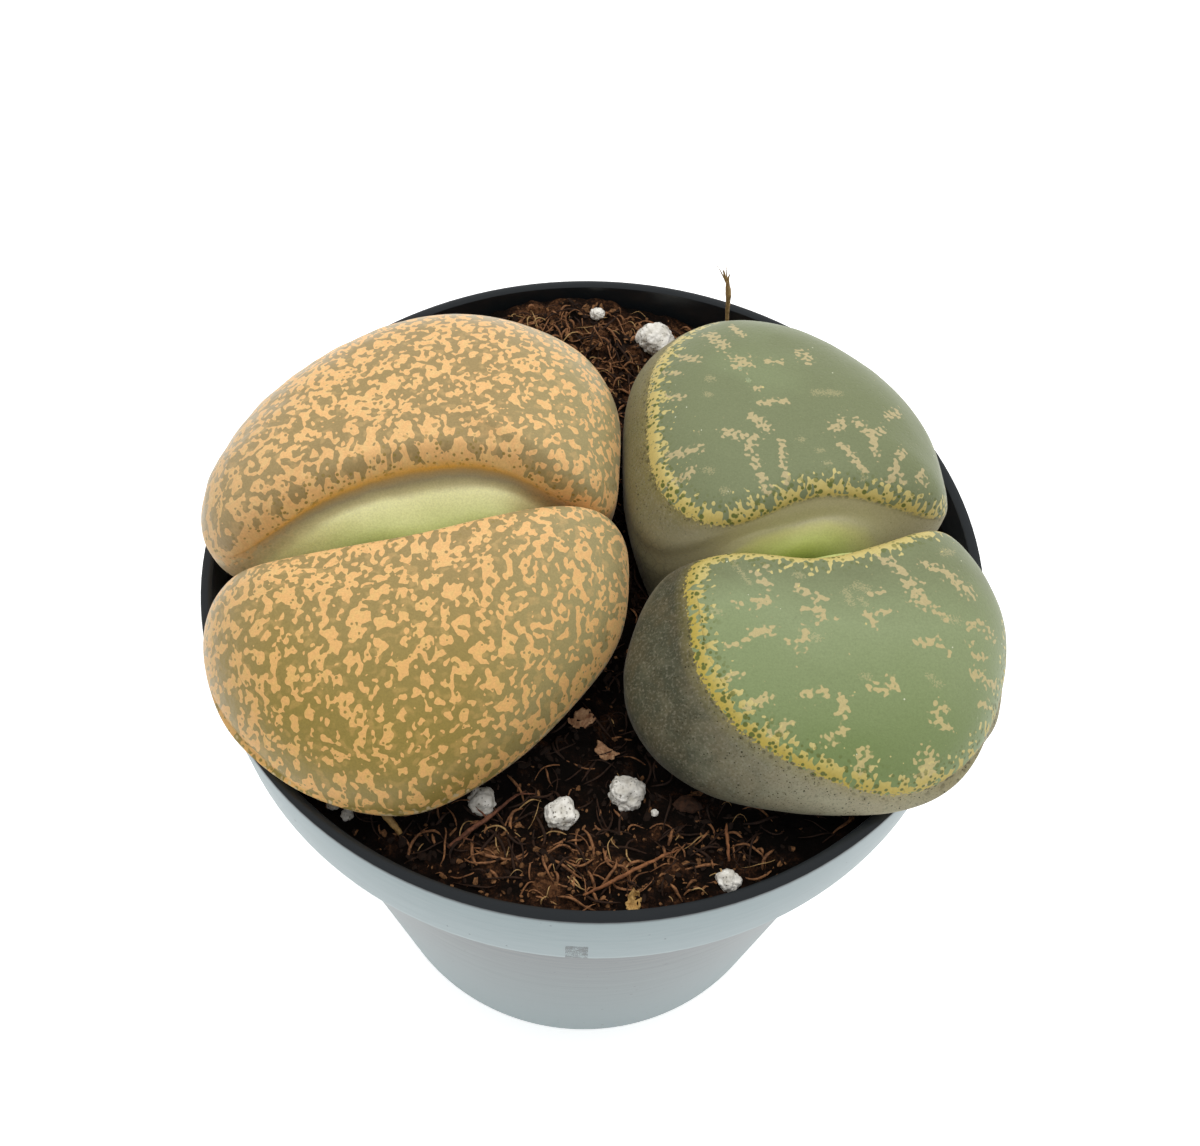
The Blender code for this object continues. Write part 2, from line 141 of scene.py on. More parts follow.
# Tan flecks in the grey-green windows, drawn on a level sheet over each leaf and dropped to its skin
# along lines from FLECKS_FROM: x, y to x, y, and half the width. "pale" ones show through faintly.
FLECKS_FROM = (0.0, -70.7, 152.5)
FLECKS = {
    "right_back_leaf": {
        "sheet": 65.0,
        "bold": [
            (9.0, 16.2, 10.0, 15.2, 0.8), (10.8, 17.5, 11.7, 16.5, 0.4), (11.2, 13.6, 12.0, 13.4, 0.8),
            (13.6, 13.6, 14.8, 13.6, 0.35), (16.6, 14.6, 17.2, 13.7, 0.6), (12.6, 10.5, 12.8, 10.5, 0.4),
            (13.1, 9.0, 15.2, 9.2, 0.45), (12.2, 7.4, 13.5, 6.0, 0.6), (10.1, 5.4, 12.4, 5.0, 0.6),
            (11.8, 4.6, 13.2, -0.4, 0.5), (14.5, 4.8, 14.7, 0.4, 0.4), (18.8, 6.6, 19.4, 7.2, 0.7),
            (19.4, 4.6, 20.9, 2.4, 0.45), (20.8, 7.4, 21.9, 5.8, 0.5), (22.6, 6.6, 21.9, 5.6, 0.5),
            (21.9, 5.6, 22.1, 3.9, 0.45), (23.6, 8.3, 23.9, 8.3, 0.65), (24.1, 4.3, 23.4, 2.6, 0.5),
            (23.4, 2.6, 22.9, 1.2, 0.4), (23.5, 2.6, 24.0, 1.2, 0.35), (25.5, 2.2, 25.5, 1.2, 0.5),
            (5.2, 2.6, 8.1, 3.8, 0.45), (5.6, -0.2, 7.6, 1.6, 0.45), (5.0, 9.1, 6.5, 9.1, 0.4),
            (5.0, 11.7, 6.3, 11.8, 0.4), (6.5, 13.6, 7.8, 13.6, 0.4), (7.7, 5.3, 7.9, 5.3, 0.25),
        ],
        "pale": [
            (17.5, 10.3, 19.5, 10.3, 0.4), (16.0, 5.2, 16.3, 5.2, 0.3), (17.5, 4.1, 17.8, 4.1, 0.3),
            (18.0, 2.8, 18.3, 2.8, 0.3), (20.9, 2.4, 20.9, 1.3, 0.3), (8.5, 1.5, 8.8, 1.5, 0.4),
            (9.8, -0.5, 10.0, -0.5, 0.4), (8.7, 11.4, 9.0, 11.4, 0.4), (8.6, 9.6, 8.8, 9.6, 0.35),
        ],
    },
    "right_front_leaf": {
        "sheet": 64.0,
        "bold": [
            (12.3, -7.7, 13.2, -8.6, 0.5), (13.0, -6.9, 13.2, -6.9, 0.4), (10.7, -10.3, 10.9, -10.3, 0.4),
            (12.2, -10.2, 13.0, -10.1, 0.6), (11.8, -13.0, 13.1, -12.6, 0.6), (9.9, -14.3, 11.3, -13.6, 0.35),
            (15.6, -12.6, 15.4, -14.0, 0.5), (14.4, -13.6, 14.6, -13.6, 0.4), (15.5, -8.8, 17.2, -9.6, 0.5),
            (16.8, -10.4, 17.0, -11.5, 0.6), (15.7, -10.6, 15.9, -10.6, 0.35), (17.9, -11.5, 18.1, -11.5, 0.3),
            (20.8, -8.9, 21.9, -8.7, 0.35), (20.1, -10.9, 22.3, -10.5, 0.4), (20.7, -11.0, 21.0, -11.9, 0.35),
            (22.0, -5.5, 23.8, -7.0, 0.5), (23.9, -7.8, 24.6, -9.2, 0.8), (24.6, -9.2, 26.3, -10.9, 0.45),
            (25.2, -5.8, 26.8, -6.8, 0.5), (27.1, -7.0, 28.2, -8.6, 0.6), (27.9, -11.6, 28.8, -11.2, 0.45),
            (28.8, -11.2, 29.6, -12.4, 0.45), (24.0, -13.1, 25.5, -13.0, 0.5), (25.5, -13.0, 26.2, -13.8, 0.45),
            (27.7, -13.0, 27.9, -13.0, 0.3), (28.4, -14.2, 28.6, -14.2, 0.55), (28.0, -15.6, 29.2, -16.6, 0.5),
            (28.2, -18.2, 28.4, -18.2, 0.5), (15.6, -18.0, 16.9, -17.6, 0.5), (20.3, -17.2, 22.0, -17.1, 0.5),
            (21.7, -16.3, 21.9, -16.3, 0.35), (18.2, -18.2, 18.0, -19.6, 0.5), (17.9, -20.8, 16.9, -21.7, 0.6),
            (25.1, -18.3, 24.8, -19.7, 0.6), (24.8, -19.7, 25.7, -20.4, 0.3), (19.4, -22.4, 19.0, -24.2, 0.6),
            (12.8, -21.6, 14.2, -20.4, 0.6), (11.0, -19.2, 12.9, -18.3, 0.5), (9.5, -17.0, 10.9, -16.6, 0.5),
            (23.8, -22.6, 23.4, -24.6, 0.8),
        ],
        "pale": [
            (10.4, -6.5, 11.7, -8.4, 0.25), (9.0, -11.2, 9.3, -11.2, 0.4), (16.4, -13.1, 16.6, -13.1, 0.4),
            (15.4, -7.5, 15.6, -7.5, 0.4), (19.0, -8.8, 19.3, -9.7, 0.4), (26.3, -10.9, 27.2, -11.0, 0.35),
            (26.7, -4.8, 27.3, -4.8, 0.4), (24.6, -16.0, 24.8, -16.0, 0.35), (25.1, -16.6, 25.3, -16.6, 0.35),
            (19.8, -16.3, 20.0, -16.3, 0.35), (19.8, -8.2, 20.6, -8.5, 0.4), (20.1, -9.4, 20.4, -9.9, 0.3),
        ],
    },
}
FISSURES = {"left": ((-29.5, -6.3), (1.0, -0.2)), "right": ((5.0, -4.6), (29.0, -1.0))}
FISSURE_POINTS = 5
FISSURE_HALF_GAP = 0.22
WIDEST = 0.987
WIDEST_DROP = 2.3
ROUNDNESS = 3.0
LIP_DROP = 1.1

# Rings over the face, as shares of the way out to the margin, then one half-way up the shoulder
# to the margin, and the margin itself.
FACE_SHARES = (0.36, 0.66, 0.86)
MARGIN_RING = len(FACE_SHARES) + 1
BELOW_MARGIN = 0.45
# Down the outside: plan size where the side shows below an inset margin, plan size where the margin
# overhangs it, and the share of the way down to the neck; below the neck, plan size and level.
FLANK = ((0.968, 0.965, 0.2), (0.922, 0.905, 0.42), (0.84, 0.81, 0.7), (0.73, 0.7, 1.0))
FULL_SIDE = 2.0
NECK_LEVEL = 52.2
FOOT_RINGS = ((0.58, 48.4), (0.42, 44.8), (0.38, 43.8))
# Down the fissure's wall from its lip: share of the opening, and the drop.
FISSURE_WALL = ((0.97, 0.5), (0.90, 1.2), (0.80, 2.1), (0.62, 2.6), (0.32, 3.5), (0.0, 5.6))
FISSURE_FOOT = (53.0, 44.8, 43.8)
CROWN = 0.07  # how much higher the middle of a face stands than its first ring, as a share of its dome
SKIN_LEVELS = 4
# Near the margin the skin's pattern is read from a place drawn toward it, which stretches it into teeth.
TOOTH_REACH = 5.0
TOOTH_PULL = 0.55

# Loose things on the peat: (x, y) and radius, or for the strands (x, y, height over the peat) and
# (x, y, height, radius) along them.
PERLITE = [
    (-7.8, -21.7, 1.15), (-1.7, -22.8, 1.3), (3.2, -20.7, 1.5), (10.9, -27.6, 1.0), (4.9, 26.8, 1.9),
    (-0.8, 29.0, 0.75), (-19.0, -22.9, 0.55), (-17.9, -23.6, 0.5), (5.4, -22.2, 0.32),
]
PERLITE_SQUASH = 0.82
PERLITE_DUST = 46
HUSKS = {"dry_husk_1": (-0.4, -14.4, 1.15), "dry_husk_2": (1.5, -17.2, 1.0), "golden_husk": (3.9, -29.6, 0.85)}
BARK_CHIP = (7.9, -21.6, 0.9)
STRANDS = {
    "long_fibre": [
        (0.2, -29.0, 0.1, 0.08), (1.6, -28.3, 0.5, 0.14), (2.9, -27.7, 0.7, 0.16), (4.3, -26.9, 0.9, 0.14),
        (5.4, -26.4, 0.9, 0.13), (6.5, -25.8, 0.8, 0.1), (7.4, -25.3, 0.6, 0.04),
    ],
    "dark_twig": [
        (-10.1, -25.7, 0.1, 0.15), (-9.2, -24.9, 0.5, 0.2), (-8.3, -24.2, 0.7, 0.17), (-7.3, -23.4, 0.8, 0.18),
        (-6.5, -22.7, 0.9, 0.14), (-5.9, -22.1, 0.9, 0.12), (-5.3, -21.5, 0.8, 0.05),
    ],
    "pale_curl": [
        (-15.8, -22.9, 0.9, 0.16), (-15.5, -23.4, 1.2, 0.3), (-15.0, -23.9, 1.3, 0.32), (-14.3, -24.5, 1.0, 0.3),
        (-13.7, -25.1, 0.6, 0.2),
    ],
    "pale_splinter": [
        (10.8, -23.2, 1.0, 0.07), (10.8, -24.1, 0.9, 0.15), (10.9, -24.9, 0.7, 0.16), (11.0, -26.1, 0.5, 0.08),
    ],
}
# Side shoots of the twig: which of its points each leaves, and which way it goes.
TWIG_SPURS = (
    (1, (0.99, -0.55, 0.55)), (3, (-0.99, 0.77, 0.44)), (5, (1.35, 0.9, 0.3)), (6, (1.5, 0.15, 0.15)),
)
STALK = [
    (11.6, 26.6, 0.2, 0.3), (11.55, 26.8, 1.6, 0.2), (11.5, 26.9, 3.0, 0.17), (11.35, 27.0, 4.6, 0.18),
    (11.3, 27.0, 6.0, 0.21), (11.25, 27.0, 7.2, 0.29), (11.1, 27.0, 8.2, 0.26), (10.9, 27.0, 9.0, 0.14),
]
# Dead bracts at the stalk's tip: which way each goes, and its radius.
STALK_TUFTS = (
    (-0.45, 0.1, 1.1, 0.09), (0.2, -0.1, 0.9, 0.07), (-1.1, 0.2, 1.7, 0.04), (-0.2, 0.3, 1.5, 0.04),
)
PEAT_RADIUS = 31.0
PEAT_RINGS = 104
PEAT_STEPS = 400
PEAT_SIDE = ((30.75, 48.4), (28.75, 47.8), (21.4, 1.55), (0.0, 1.55))
DROPLETS = [(11.4, 12.6, 0.2), (12.05, 11.3, 0.25), (12.1, 8.9, 0.1)]
POT_SHARP, CRUMB_SHARP = 35, 40  # degrees between two faces past which the edge between them shows

CAMERA_AT = (0.0, -70.737, 152.534)
CAMERA_AIM = (0.456, -2.206, 55.6)
CAMERA_ROLL = 2.81
CAMERA_LENS = 43.05


# ---- helpers -----------------------------------------------------------------------------------

# Settings that many nodes share: a Mix of colours, and a Map Range with soft ends.
COLOURS = {"output": 2, "data_type": "RGBA"}
SOFT = {"interpolation_type": "SMOOTHSTEP"}


def linear(hex_colour):
    """An sRGB hex colour as linear red, green and blue."""
    values = [int(hex_colour[i : i + 2], 16) / 255 for i in (1, 3, 5)]
    return tuple(v / 12.92 if v <= 0.04045 else ((v + 0.055) / 1.055) ** 2.4 for v in values)


def add_node(tree, kind, inputs=(), output=0, stops=None, **settings):
    """Adds a node with its settings. Inputs go by name or in order: values, colours, outputs or None."""
    node = tree.nodes.new("ShaderNode" + kind)
    for name, value in settings.items():
        setattr(node, name, value)
    if stops:
        while len(node.color_ramp.elements) < len(stops):
            node.color_ramp.elements.new(1)
        for element, (position, colour) in zip(node.color_ramp.elements, stops):
            element.position = position
            element.color = (*(linear(colour) if isinstance(colour, str) else colour), 1)
    for name, value in inputs.items() if isinstance(inputs, dict) else enumerate(inputs):
        socket = node.inputs[name]
        if value is None:
            continue
        if isinstance(value, bpy.types.NodeSocket):
            tree.links.new(value, socket)
        elif isinstance(value, str):
            socket.default_value = (*linear(value), 1)
        elif socket.type == "RGBA" and len(value) == 3:
            socket.default_value = (*value, 1)
        else:
            socket.default_value = value
    return node.outputs[output] if len(node.outputs) else node


def new_material(name):
    """An empty node material, and what adds a node to it."""
    made = bpy.data.materials.new(name)
    made.use_nodes = True
    made.node_tree.nodes.clear()
    return made, partial(add_node, made.node_tree)


def finish_material(add, surface, *reliefs):
    """Ends a material: each relief as (height, strength, depth in mm, pressed in or not), then its surface."""
    bump = None
    for height, strength, depth, pressed in reliefs:
        inputs = {"Height": height, "Strength": strength, "Distance": depth * MM, "Normal": bump}
        bump = add("Bump", inputs, invert=pressed)
    add("OutputMaterial", {"Surface": add("BsdfPrincipled", {**surface, "Normal": bump})})


def place_in_mm(add):
    return add("VectorMath", {0: add("TexCoord", output=3), "Scale": 1 / MM}, operation="SCALE")


def store(name, bm, finish, sharp_over=180):
    """A mesh in millimetres becomes a piece in metres that rides on the frame."""
    bm.transform(Matrix.Scale(MM, 4))
    mesh = bpy.data.meshes.new(name)
    bm.to_mesh(mesh)
    bm.free()
    mesh.shade_smooth()
    mesh.set_sharp_from_angle(angle=math.radians(sharp_over))
    obj = bpy.data.objects.new(name, mesh)
    bpy.context.scene.collection.objects.link(obj)
    mesh.materials.append(finish)
    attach(obj, "root")
    return obj


def apply_modifiers(obj):
    """Bakes the object's modifiers into its mesh."""
    graph = bpy.context.evaluated_depsgraph_get()
    made = bpy.data.meshes.new_from_object(obj.evaluated_get(graph), depsgraph=graph)
    old = obj.data
    obj.modifiers.clear()
    obj.data = made
    bpy.data.meshes.remove(old)
    made.name = obj.name


def loft(rings):
    """A closed body through rings of equal point counts: extruded from ring to ring, both ends filled."""
    bm = bmesh.new()
    loop = bmesh.ops.create_circle(bm, segments=len(rings[0]), radius=1)["verts"]
    loops = [loop]
    for vert, place in zip(loop, rings[0]):
        vert.co = place
    fill_end(bm, loop)
    for places in rings[1:]:
        edges = [bm.edges.get(pair) for pair in zip(loop, loop[1:] + loop[:1])]
        made = bmesh.ops.extrude_edge_only(bm, edges=edges)["geom"]
        new = {item for item in made if isinstance(item, bmesh.types.BMVert)}
        loop = [next(e.other_vert(v) for e in v.link_edges if e.other_vert(v) in new) for v in loop]
        loops.append(loop)
        for vert, place in zip(loop, places):
            vert.co = place
    fill_end(bm, loop)
    bmesh.ops.recalc_face_normals(bm, faces=bm.faces)
    return bm, loops


def fill_end(bm, loop):
    """Fills a ring of 4n points with a grid of n by n faces."""
    quarter = len(loop) // 4
    edges = [bm.edges.get(pair) for pair in zip(loop, loop[1:] + loop[:1])]
    bmesh.ops.grid_fill(bm, edges=edges[:quarter] + edges[2 * quarter : 3 * quarter])


def through(rings):
    """Control rings whose subdivided surface passes through the given rings."""
    target = np.array([[tuple(p) for p in ring] for ring in rings])
    control = target.copy()
    for _ in range(12):
        limit = (np.roll(control, 1, 1) + 4 * control + np.roll(control, -1, 1)) / 6
        limit[1:-1] = (limit[:-2] + 4 * limit[1:-1] + limit[2:]) / 6
        control += 0.9 * (target - limit)
    return control


def soil_height(x, y):
    """Height of the peat: lumpy, and heaped against the rim at the back."""
    lumps = 0.9 * noise.noise((x * 0.16, y * 0.16, 3.1)) + 0.5 * noise.noise((x * 0.45, y * 0.45, 8.7))
    heap = 2.4 * math.exp(-((x + 4.0) ** 2 + (y - 30.0) ** 2) / 60.0)
    return SOIL_LEVEL + lumps + heap


# ---- the leaves --------------------------------------------------------------------------------


def leaf_rings(leaf):
    """Points the leaf's skin passes through, in rings from the top of its face down to its foot."""
    edge = [Vector(p) for p in leaf["edge"]]
    centre = sum(edge, Vector()) / len(edge)
    slope = np.linalg.lstsq([(p.x, p.y, 1) for p in edge], [p.z for p in edge], rcond=None)[0]
    start, end = (Vector((*p, 0)) for p in FISSURES[leaf["plant"]])
    along = (end - start).normalized()
    across = Vector((-along.y, along.x, 0))
    if (centre - start).dot(across) < 0:
        across = -across
    foot = (leaf["foot"] - start.x) / along.x
    columns = []
    for i, p in enumerate(edge):
        low = p.z - (slope[0] * p.x + slope[1] * p.y + slope[2])
        u, v = (p - start).dot(along), max((p - start).dot(across) - FISSURE_HALF_GAP, 0)

        def over_face(share, height):
            place = centre.lerp(p, share)
            place.z = slope[0] * place.x + slope[1] * place.y + slope[2] + low * share**3 + height
            return place

        def at_size(size, level, opening):
            place = start + along * (foot + size * (u - foot)) + across * (v * opening + FISSURE_HALF_GAP)
            reach = math.hypot(place.x, place.y)
            if level < RIM_TOP + 0.9 and reach > INSIDE_RIM:
                place *= INSIDE_RIM / reach
            place.z = level
            return place

        column = []
        if 0 < i < FISSURE_POINTS - 1:
            lip = 1 - 0.1 / (p - centre).length
            for share in (*FACE_SHARES, 0.96, 1):
                share *= lip
                height = leaf["dome"] * (1 - 0.8 * share**2 - 0.2 * share**12) - LIP_DROP * share**12
                column.append(over_face(share, height))
            scale = 1.0 if i == 2 else 0.85
            for (opening, drop), (_, size, _) in zip(FISSURE_WALL, ((1, 1, 0), (1, 1, 0), *FLANK)):
                column.append(at_size(size, p.z - LIP_DROP - drop * scale, opening))
            for level, (size, _) in zip(FISSURE_FOOT, FOOT_RINGS):
                column.append(at_size(size, level, 0))
        else:
            margin = WIDEST - leaf["margin"][i] / (p - centre).length
            shares = [margin * share for share in FACE_SHARES]
            heights = [math.sqrt(1 - (share / WIDEST) ** ROUNDNESS) for share in (*shares, margin)]
            heights.insert(-1, (heights[-1] + heights[-2]) / 2)
            for height in (*heights, heights[-1] * BELOW_MARGIN, 0):
                share = WIDEST * (1 - height**2) ** (1 / ROUNDNESS)
                column.append(over_face(share, (leaf["dome"] + WIDEST_DROP) * height - WIDEST_DROP))
            in_fissure = i < FISSURE_POINTS
            full = min(leaf["margin"][i] / FULL_SIDE, 1)
            for size, undercut, down in FLANK:
                size = undercut + (size - undercut) * full
                level = p.z - WIDEST_DROP
                level += (NECK_LEVEL - level) * down
                column.append(at_size(size, level, 1 - down if in_fissure else size))
            for size, level in FOOT_RINGS:
                column.append(at_size(size, level, 0 if in_fissure else size))
        columns.append(column)
    return [list(ring) for ring in zip(*columns)]


def make_leaf(name, finish, relief):
    """One leaf with its skin's measurements as attributes, standing for the CAD node of the same shape."""
    leaf = LEAVES[name]
    bm, loops = loft([[Vector(p) for p in ring] for ring in through(leaf_rings(leaf))])
    bm.verts.index_update()
    numbers = [[vert.index for vert in loop] for loop in loops]
    station = bm.verts.layers.float.new("station")
    wall = bm.verts.layers.float.new("wall")
    bm.verts.ensure_lookup_table()
    for vert in bm.verts:
        vert[station] = -1.0
    for n, loop in enumerate(numbers):
        for i, number in enumerate(loop):
            bm.verts[number][station] = n
            bm.verts[number][wall] = (0.35, 1, 1, 1, 0.35)[i] if i < FISSURE_POINTS and n > MARGIN_RING else 0
    lift_crown(bm, [bm.verts[number] for number in numbers[0]], leaf["dome"])
    obj = store(name.replace("_leaf", "_lithops_leaf"), bm, finish)
    smooth = obj.modifiers.new("fleshy", "SUBSURF")
    smooth.levels = smooth.render_levels = SKIN_LEVELS
    apply_modifiers(obj)
    measure_skin(obj, name, relief)
    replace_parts(obj, name)
    return obj


def lift_crown(bm, ring, dome):
    """Rounds the top of the face inside its first ring."""
    middle = sum((v.co for v in ring), Vector()) / len(ring)
    reach = max((v.co - middle).length for v in ring)
    station = bm.verts.layers.float["station"]
    for vert in bm.verts:
        if vert[station] < 0 and vert.co.z > SOIL_LEVEL:
            vert.co.z += CROWN * dome * max(1 - ((vert.co - middle).length / reach) ** 2, 0)


def stroke_field(points, strokes):
    """How firmly each point lies in a stroke: 1 along its middle, 0.5 at half its width out."""
    field = np.zeros(len(points))
    for x0, y0, x1, y1, half in strokes:
        start, run = np.array((x0, y0)), np.array((x1 - x0, y1 - y0))
        share = np.clip((points - start) @ run / max(run @ run, 1e-6), 0, 1)
        distance = np.linalg.norm(points - start - share[:, None] * run, axis=1)
        field = np.maximum(field, 0.5 ** (distance / half) ** 2)
    return field


def measure_skin(obj, name, relief):
    """Adds the gentle relief of the skin, and the attributes that its pattern reads."""
    mesh = obj.data
    count = len(mesh.vertices)
    points, normals, station = np.empty(count * 3), np.empty(count * 3), np.empty(count)
    mesh.vertices.foreach_get("co", points)
    mesh.vertices.foreach_get("normal", normals)
    mesh.attributes["station"].data.foreach_get("value", station)
    points, normals = points.reshape(-1, 3) / MM, normals.reshape(-1, 3)
    margin = points[np.abs(station - MARGIN_RING) < 1e-4]
    tree = KDTree(len(margin))
    for i, p in enumerate(margin):
        tree.insert(p, i)
    tree.balance()
    ends = [[found[0] for found in tree.find_n(p, 3)[1:]] for p in margin]
    along = np.array([(a - b).normalized() for a, b in ends])
    step = np.array([(a - b).length for a, b in ends]) * 0.3
    found = np.array([tree.find(p)[1] for p in points])
    slide = np.sum((points - margin[found]) * along[found], axis=1)
    slide = np.clip(slide, -step[found], step[found])
    nearest = margin[found] + along[found] * slide[:, None]
    gap = np.linalg.norm(points - nearest, axis=1)
    inward = station < MARGIN_RING
    pull = np.clip(1 - gap / TOOTH_REACH, 0, 1) * TOOTH_PULL * inward
    values = {
        "rim": np.where(inward, gap, -gap),
        "place": points + (nearest - points) * pull[:, None],
    }
    if name in FLECKS:
        eye, level = np.array(FLECKS_FROM), FLECKS[name]["sheet"]
        reach = (level - points[:, 2]) / (eye[2] - points[:, 2])
        sheet = (points + (eye - points) * reach[:, None])[:, :2]
        for kind in ("bold", "pale"):
            values[kind] = stroke_field(sheet, FLECKS[name][kind]) * inward
    swell = np.array([relief(Vector(p)) for p in points])
    mesh.vertices.foreach_set("co", ((points + normals * swell[:, None]) * MM).astype(np.float32).ravel())
    for key, column in values.items():
        vector = column.ndim == 2
        layer = mesh.attributes.new(key, "FLOAT_VECTOR" if vector else "FLOAT", "POINT")
        layer.data.foreach_set("vector" if vector else "value", column.astype(np.float32).ravel())
    mesh.update()


def left_relief(p):
    """Slow swells, and pebbles on the weathered left shoulder."""
    pebbles = noise.noise(p * 0.55) * max(0.0, min(1.0, (-18 - p.x + 0.5 * p.y) / 12))
    return 0.16 * noise.noise(p * 0.13) + 0.09 * pebbles


def right_relief(p):
    """Slow swells under a fine unevenness."""
    return 0.14 * noise.noise(p * 0.12 + Vector((9, 0, 0))) + 0.03 * noise.noise(p * 0.5)


def skin_readings(add):
    """What both skins read: place in mm, distance in from the margin, ring down the side, fissure wall."""
    place = add("Attribute", output=1, attribute_name="place")
    return place, *(add("Attribute", output=2, attribute_name=name) for name in ("rim", "station", "wall"))


def dots(add, place, *sizes):
    """Scattered round dots, 1 inside: cells per mm, a dot's radius, and the share of cells that hold one."""
    found = None
    for per_mm, radius, share in sizes:
        near = add("TexVoronoi", {"Vector": place, "Scale": per_mm})
        edge = radius * per_mm
        dot = add("MapRange", (near, edge * 1.15, edge * 0.8))
        chosen = add("SeparateColor", {0: near.node.outputs["Color"]})
        chosen = add("Math", (chosen, share), operation="LESS_THAN")
        dot = add("Math", (dot, chosen), operation="MULTIPLY")
        found = dot if found is None else add("Math", (found, dot), operation="MAXIMUM")
    return found


def left_skin():
    """Living leaf skin under a waxy cuticle: satin, with crisp tan islands a hair proud of olive windows."""
    look = bpy.context.scene.lithops_left
    made, add = new_material("living lithops skin, tan-flecked")
    place, rim, station, wall = skin_readings(add)
    true = place_in_mm(add)
    x = add("SeparateXYZ", {0: place})
    y = x.node.outputs[1]
    patches, wander, mottle, pebbles, pores = (
        add("TexNoise", {"Vector": place, "Scale": scale, "Detail": detail})
        for scale, detail in ((0.12, 2), (0.5, 3), (7.0, 2), (1.6, 1), (9.0, 2))
    )
    # What changes over the plant: the value it follows, from and to where, and how much at each end.
    crowd, drift, firm, rear, forward, greener, bloom_and_painted_sheen, rusty, inner, weathered, margin, low = (
        add("MapRange", span)
        for span in (
            (y, -25.0, -8.0, -0.04, 0.03),  # fewer islands toward the front
            (x, -30.0, 2.0, 0.03, -0.02),  # and the right
            (y, -21.0, -13.0, 0.05, 0.24),  # closed up along the margin, but for the low front
            (y, 2.0, 8.0, 1.0, 0.1),  # and the back
            (y, -5.0, -22.0),
            (x, -9.0, 0.0, 0.0, 0.5),
            (x, -23.0, -31.5, 0.0, 0.45),
            (x, -7.5, -2.0, 0.0, 0.8),
            (x, -29.0, -26.0),
            (x, -14.0, -28.0, 0.1, 1.0),
            (rim, 2.8, 1.2),
            (rim, -1.6, -6.0),
        )
    )
    # The islands: clusters with 0.4 mm lobes, kept apart by channels that follow warped 1.5 mm cells.
    drawn = add("Mapping", {"Vector": place, "Scale": (1.0, 0.8, 0.85)})
    shapes = add("TexNoise", {"Vector": drawn, "Scale": 1.2, "Detail": 0.0})
    lobes = add("TexNoise", {"Vector": drawn, "Scale": 2.4, "Detail": 0.0})
    warp = add("TexNoise", {"Vector": drawn, "Scale": 1.2, "Detail": 0.0}, output=1)
    warped = add("VectorMath", (warp, (0.8, 0.8, 0.8), drawn), operation="MULTIPLY_ADD")
    field = add("TexVoronoi", {"Vector": warped, "Scale": 0.65}, feature="DISTANCE_TO_EDGE")
    field = add("MapRange", (field, 0.0, 0.2, -0.25, 0.0))
    for part, weight in ((lobes, 0.8), (shapes, 0.7)):
        field = add("Math", (part, weight, field), operation="MULTIPLY_ADD")
    ahead = add("Math", (x, 0.2, -0.4), operation="MULTIPLY_ADD")
    ahead = add("Math", (ahead, y), operation="GREATER_THAN")
    width = add("MapRange", (ahead, 0.0, 1.0, 0.9, 2.2))
    firm = add("Math", (firm, rear), operation="MULTIPLY")
    near = add("MapRange", (rim, 0.15, width, firm, 0.0))
    for part in (crowd, drift, near):
        field = add("Math", (field, part), operation="ADD")
    island = add("MapRange", (field, 0.698, 0.714), **SOFT)
    holes = dots(add, true, (1.15, 0.14, 0.5), (2.0, 0.1, 0.35))
    island = add("Math", (island, holes, 0.0), operation="SUBTRACT", use_clamp=True)
    # Buried islands show faintly through the windows.
    buried = add("VectorMath", (place, (31.0, 7.0, 3.0)), operation="ADD")
    buried = add("TexNoise", {"Vector": buried, "Scale": 1.3, "Detail": 1.0})
    buried = add("MapRange", (buried, 0.55, 0.66, 0.0, 0.25))
    forward = add("Math", (patches, 0.5, forward), operation="MULTIPLY_ADD")
    forward = add("Math", (forward, 0.25), operation="SUBTRACT", use_clamp=True)
    warm = add("MapRange", (lobes, 0.35, 0.65, 0.0, 0.35))
    window = add("Mix", {0: forward, 6: look.window_back, 7: look.window_front}, **COLOURS)
    window = add("Mix", {0: greener, 6: window, 7: "#A19B70"}, **COLOURS)
    tan = add("Mix", {0: forward, 6: look.island_back, 7: look.island_front}, **COLOURS)
    tan = add("Mix", {0: warm, 6: tan, 7: "#E2A56C"}, **COLOURS)
    # Olive pits dot the tan along the margin, and a grey bloom dulls the weathered left shoulder: partly the
    #     # wax bloom itself, partly a painted sheen of the bright surroundings where the skin turns away.
    pits = add("Math", (dots(add, true, (1.9, 0.14, 0.8)), margin), operation="MULTIPLY")
    face = window
    for share, over in ((buried, tan), (island, tan), (pits, "#8E7B44"), (bloom_and_painted_sheen, "#9C8D6E")):
        face = add("Mix", {0: share, 6: face, 7: over}, **COLOURS)
    # Below the margin: a pale line, then plainer skin that greys toward the soil.
    line = add("MapRange", (rim, -1.8, -1.0), **SOFT)
    outside = add("Math", (lobes, 3.0, rim), operation="MULTIPLY_ADD")
    outside = add("MapRange", (outside, 0.1, 0.6), **SOFT)
    skin = "#A08D69"
    for share, over in ((low, "#6E6450"), (0.3, face), (line, "#C4AE82"), (outside, face)):
        skin = add("Mix", {0: share, 6: skin, 7: over}, **COLOURS)
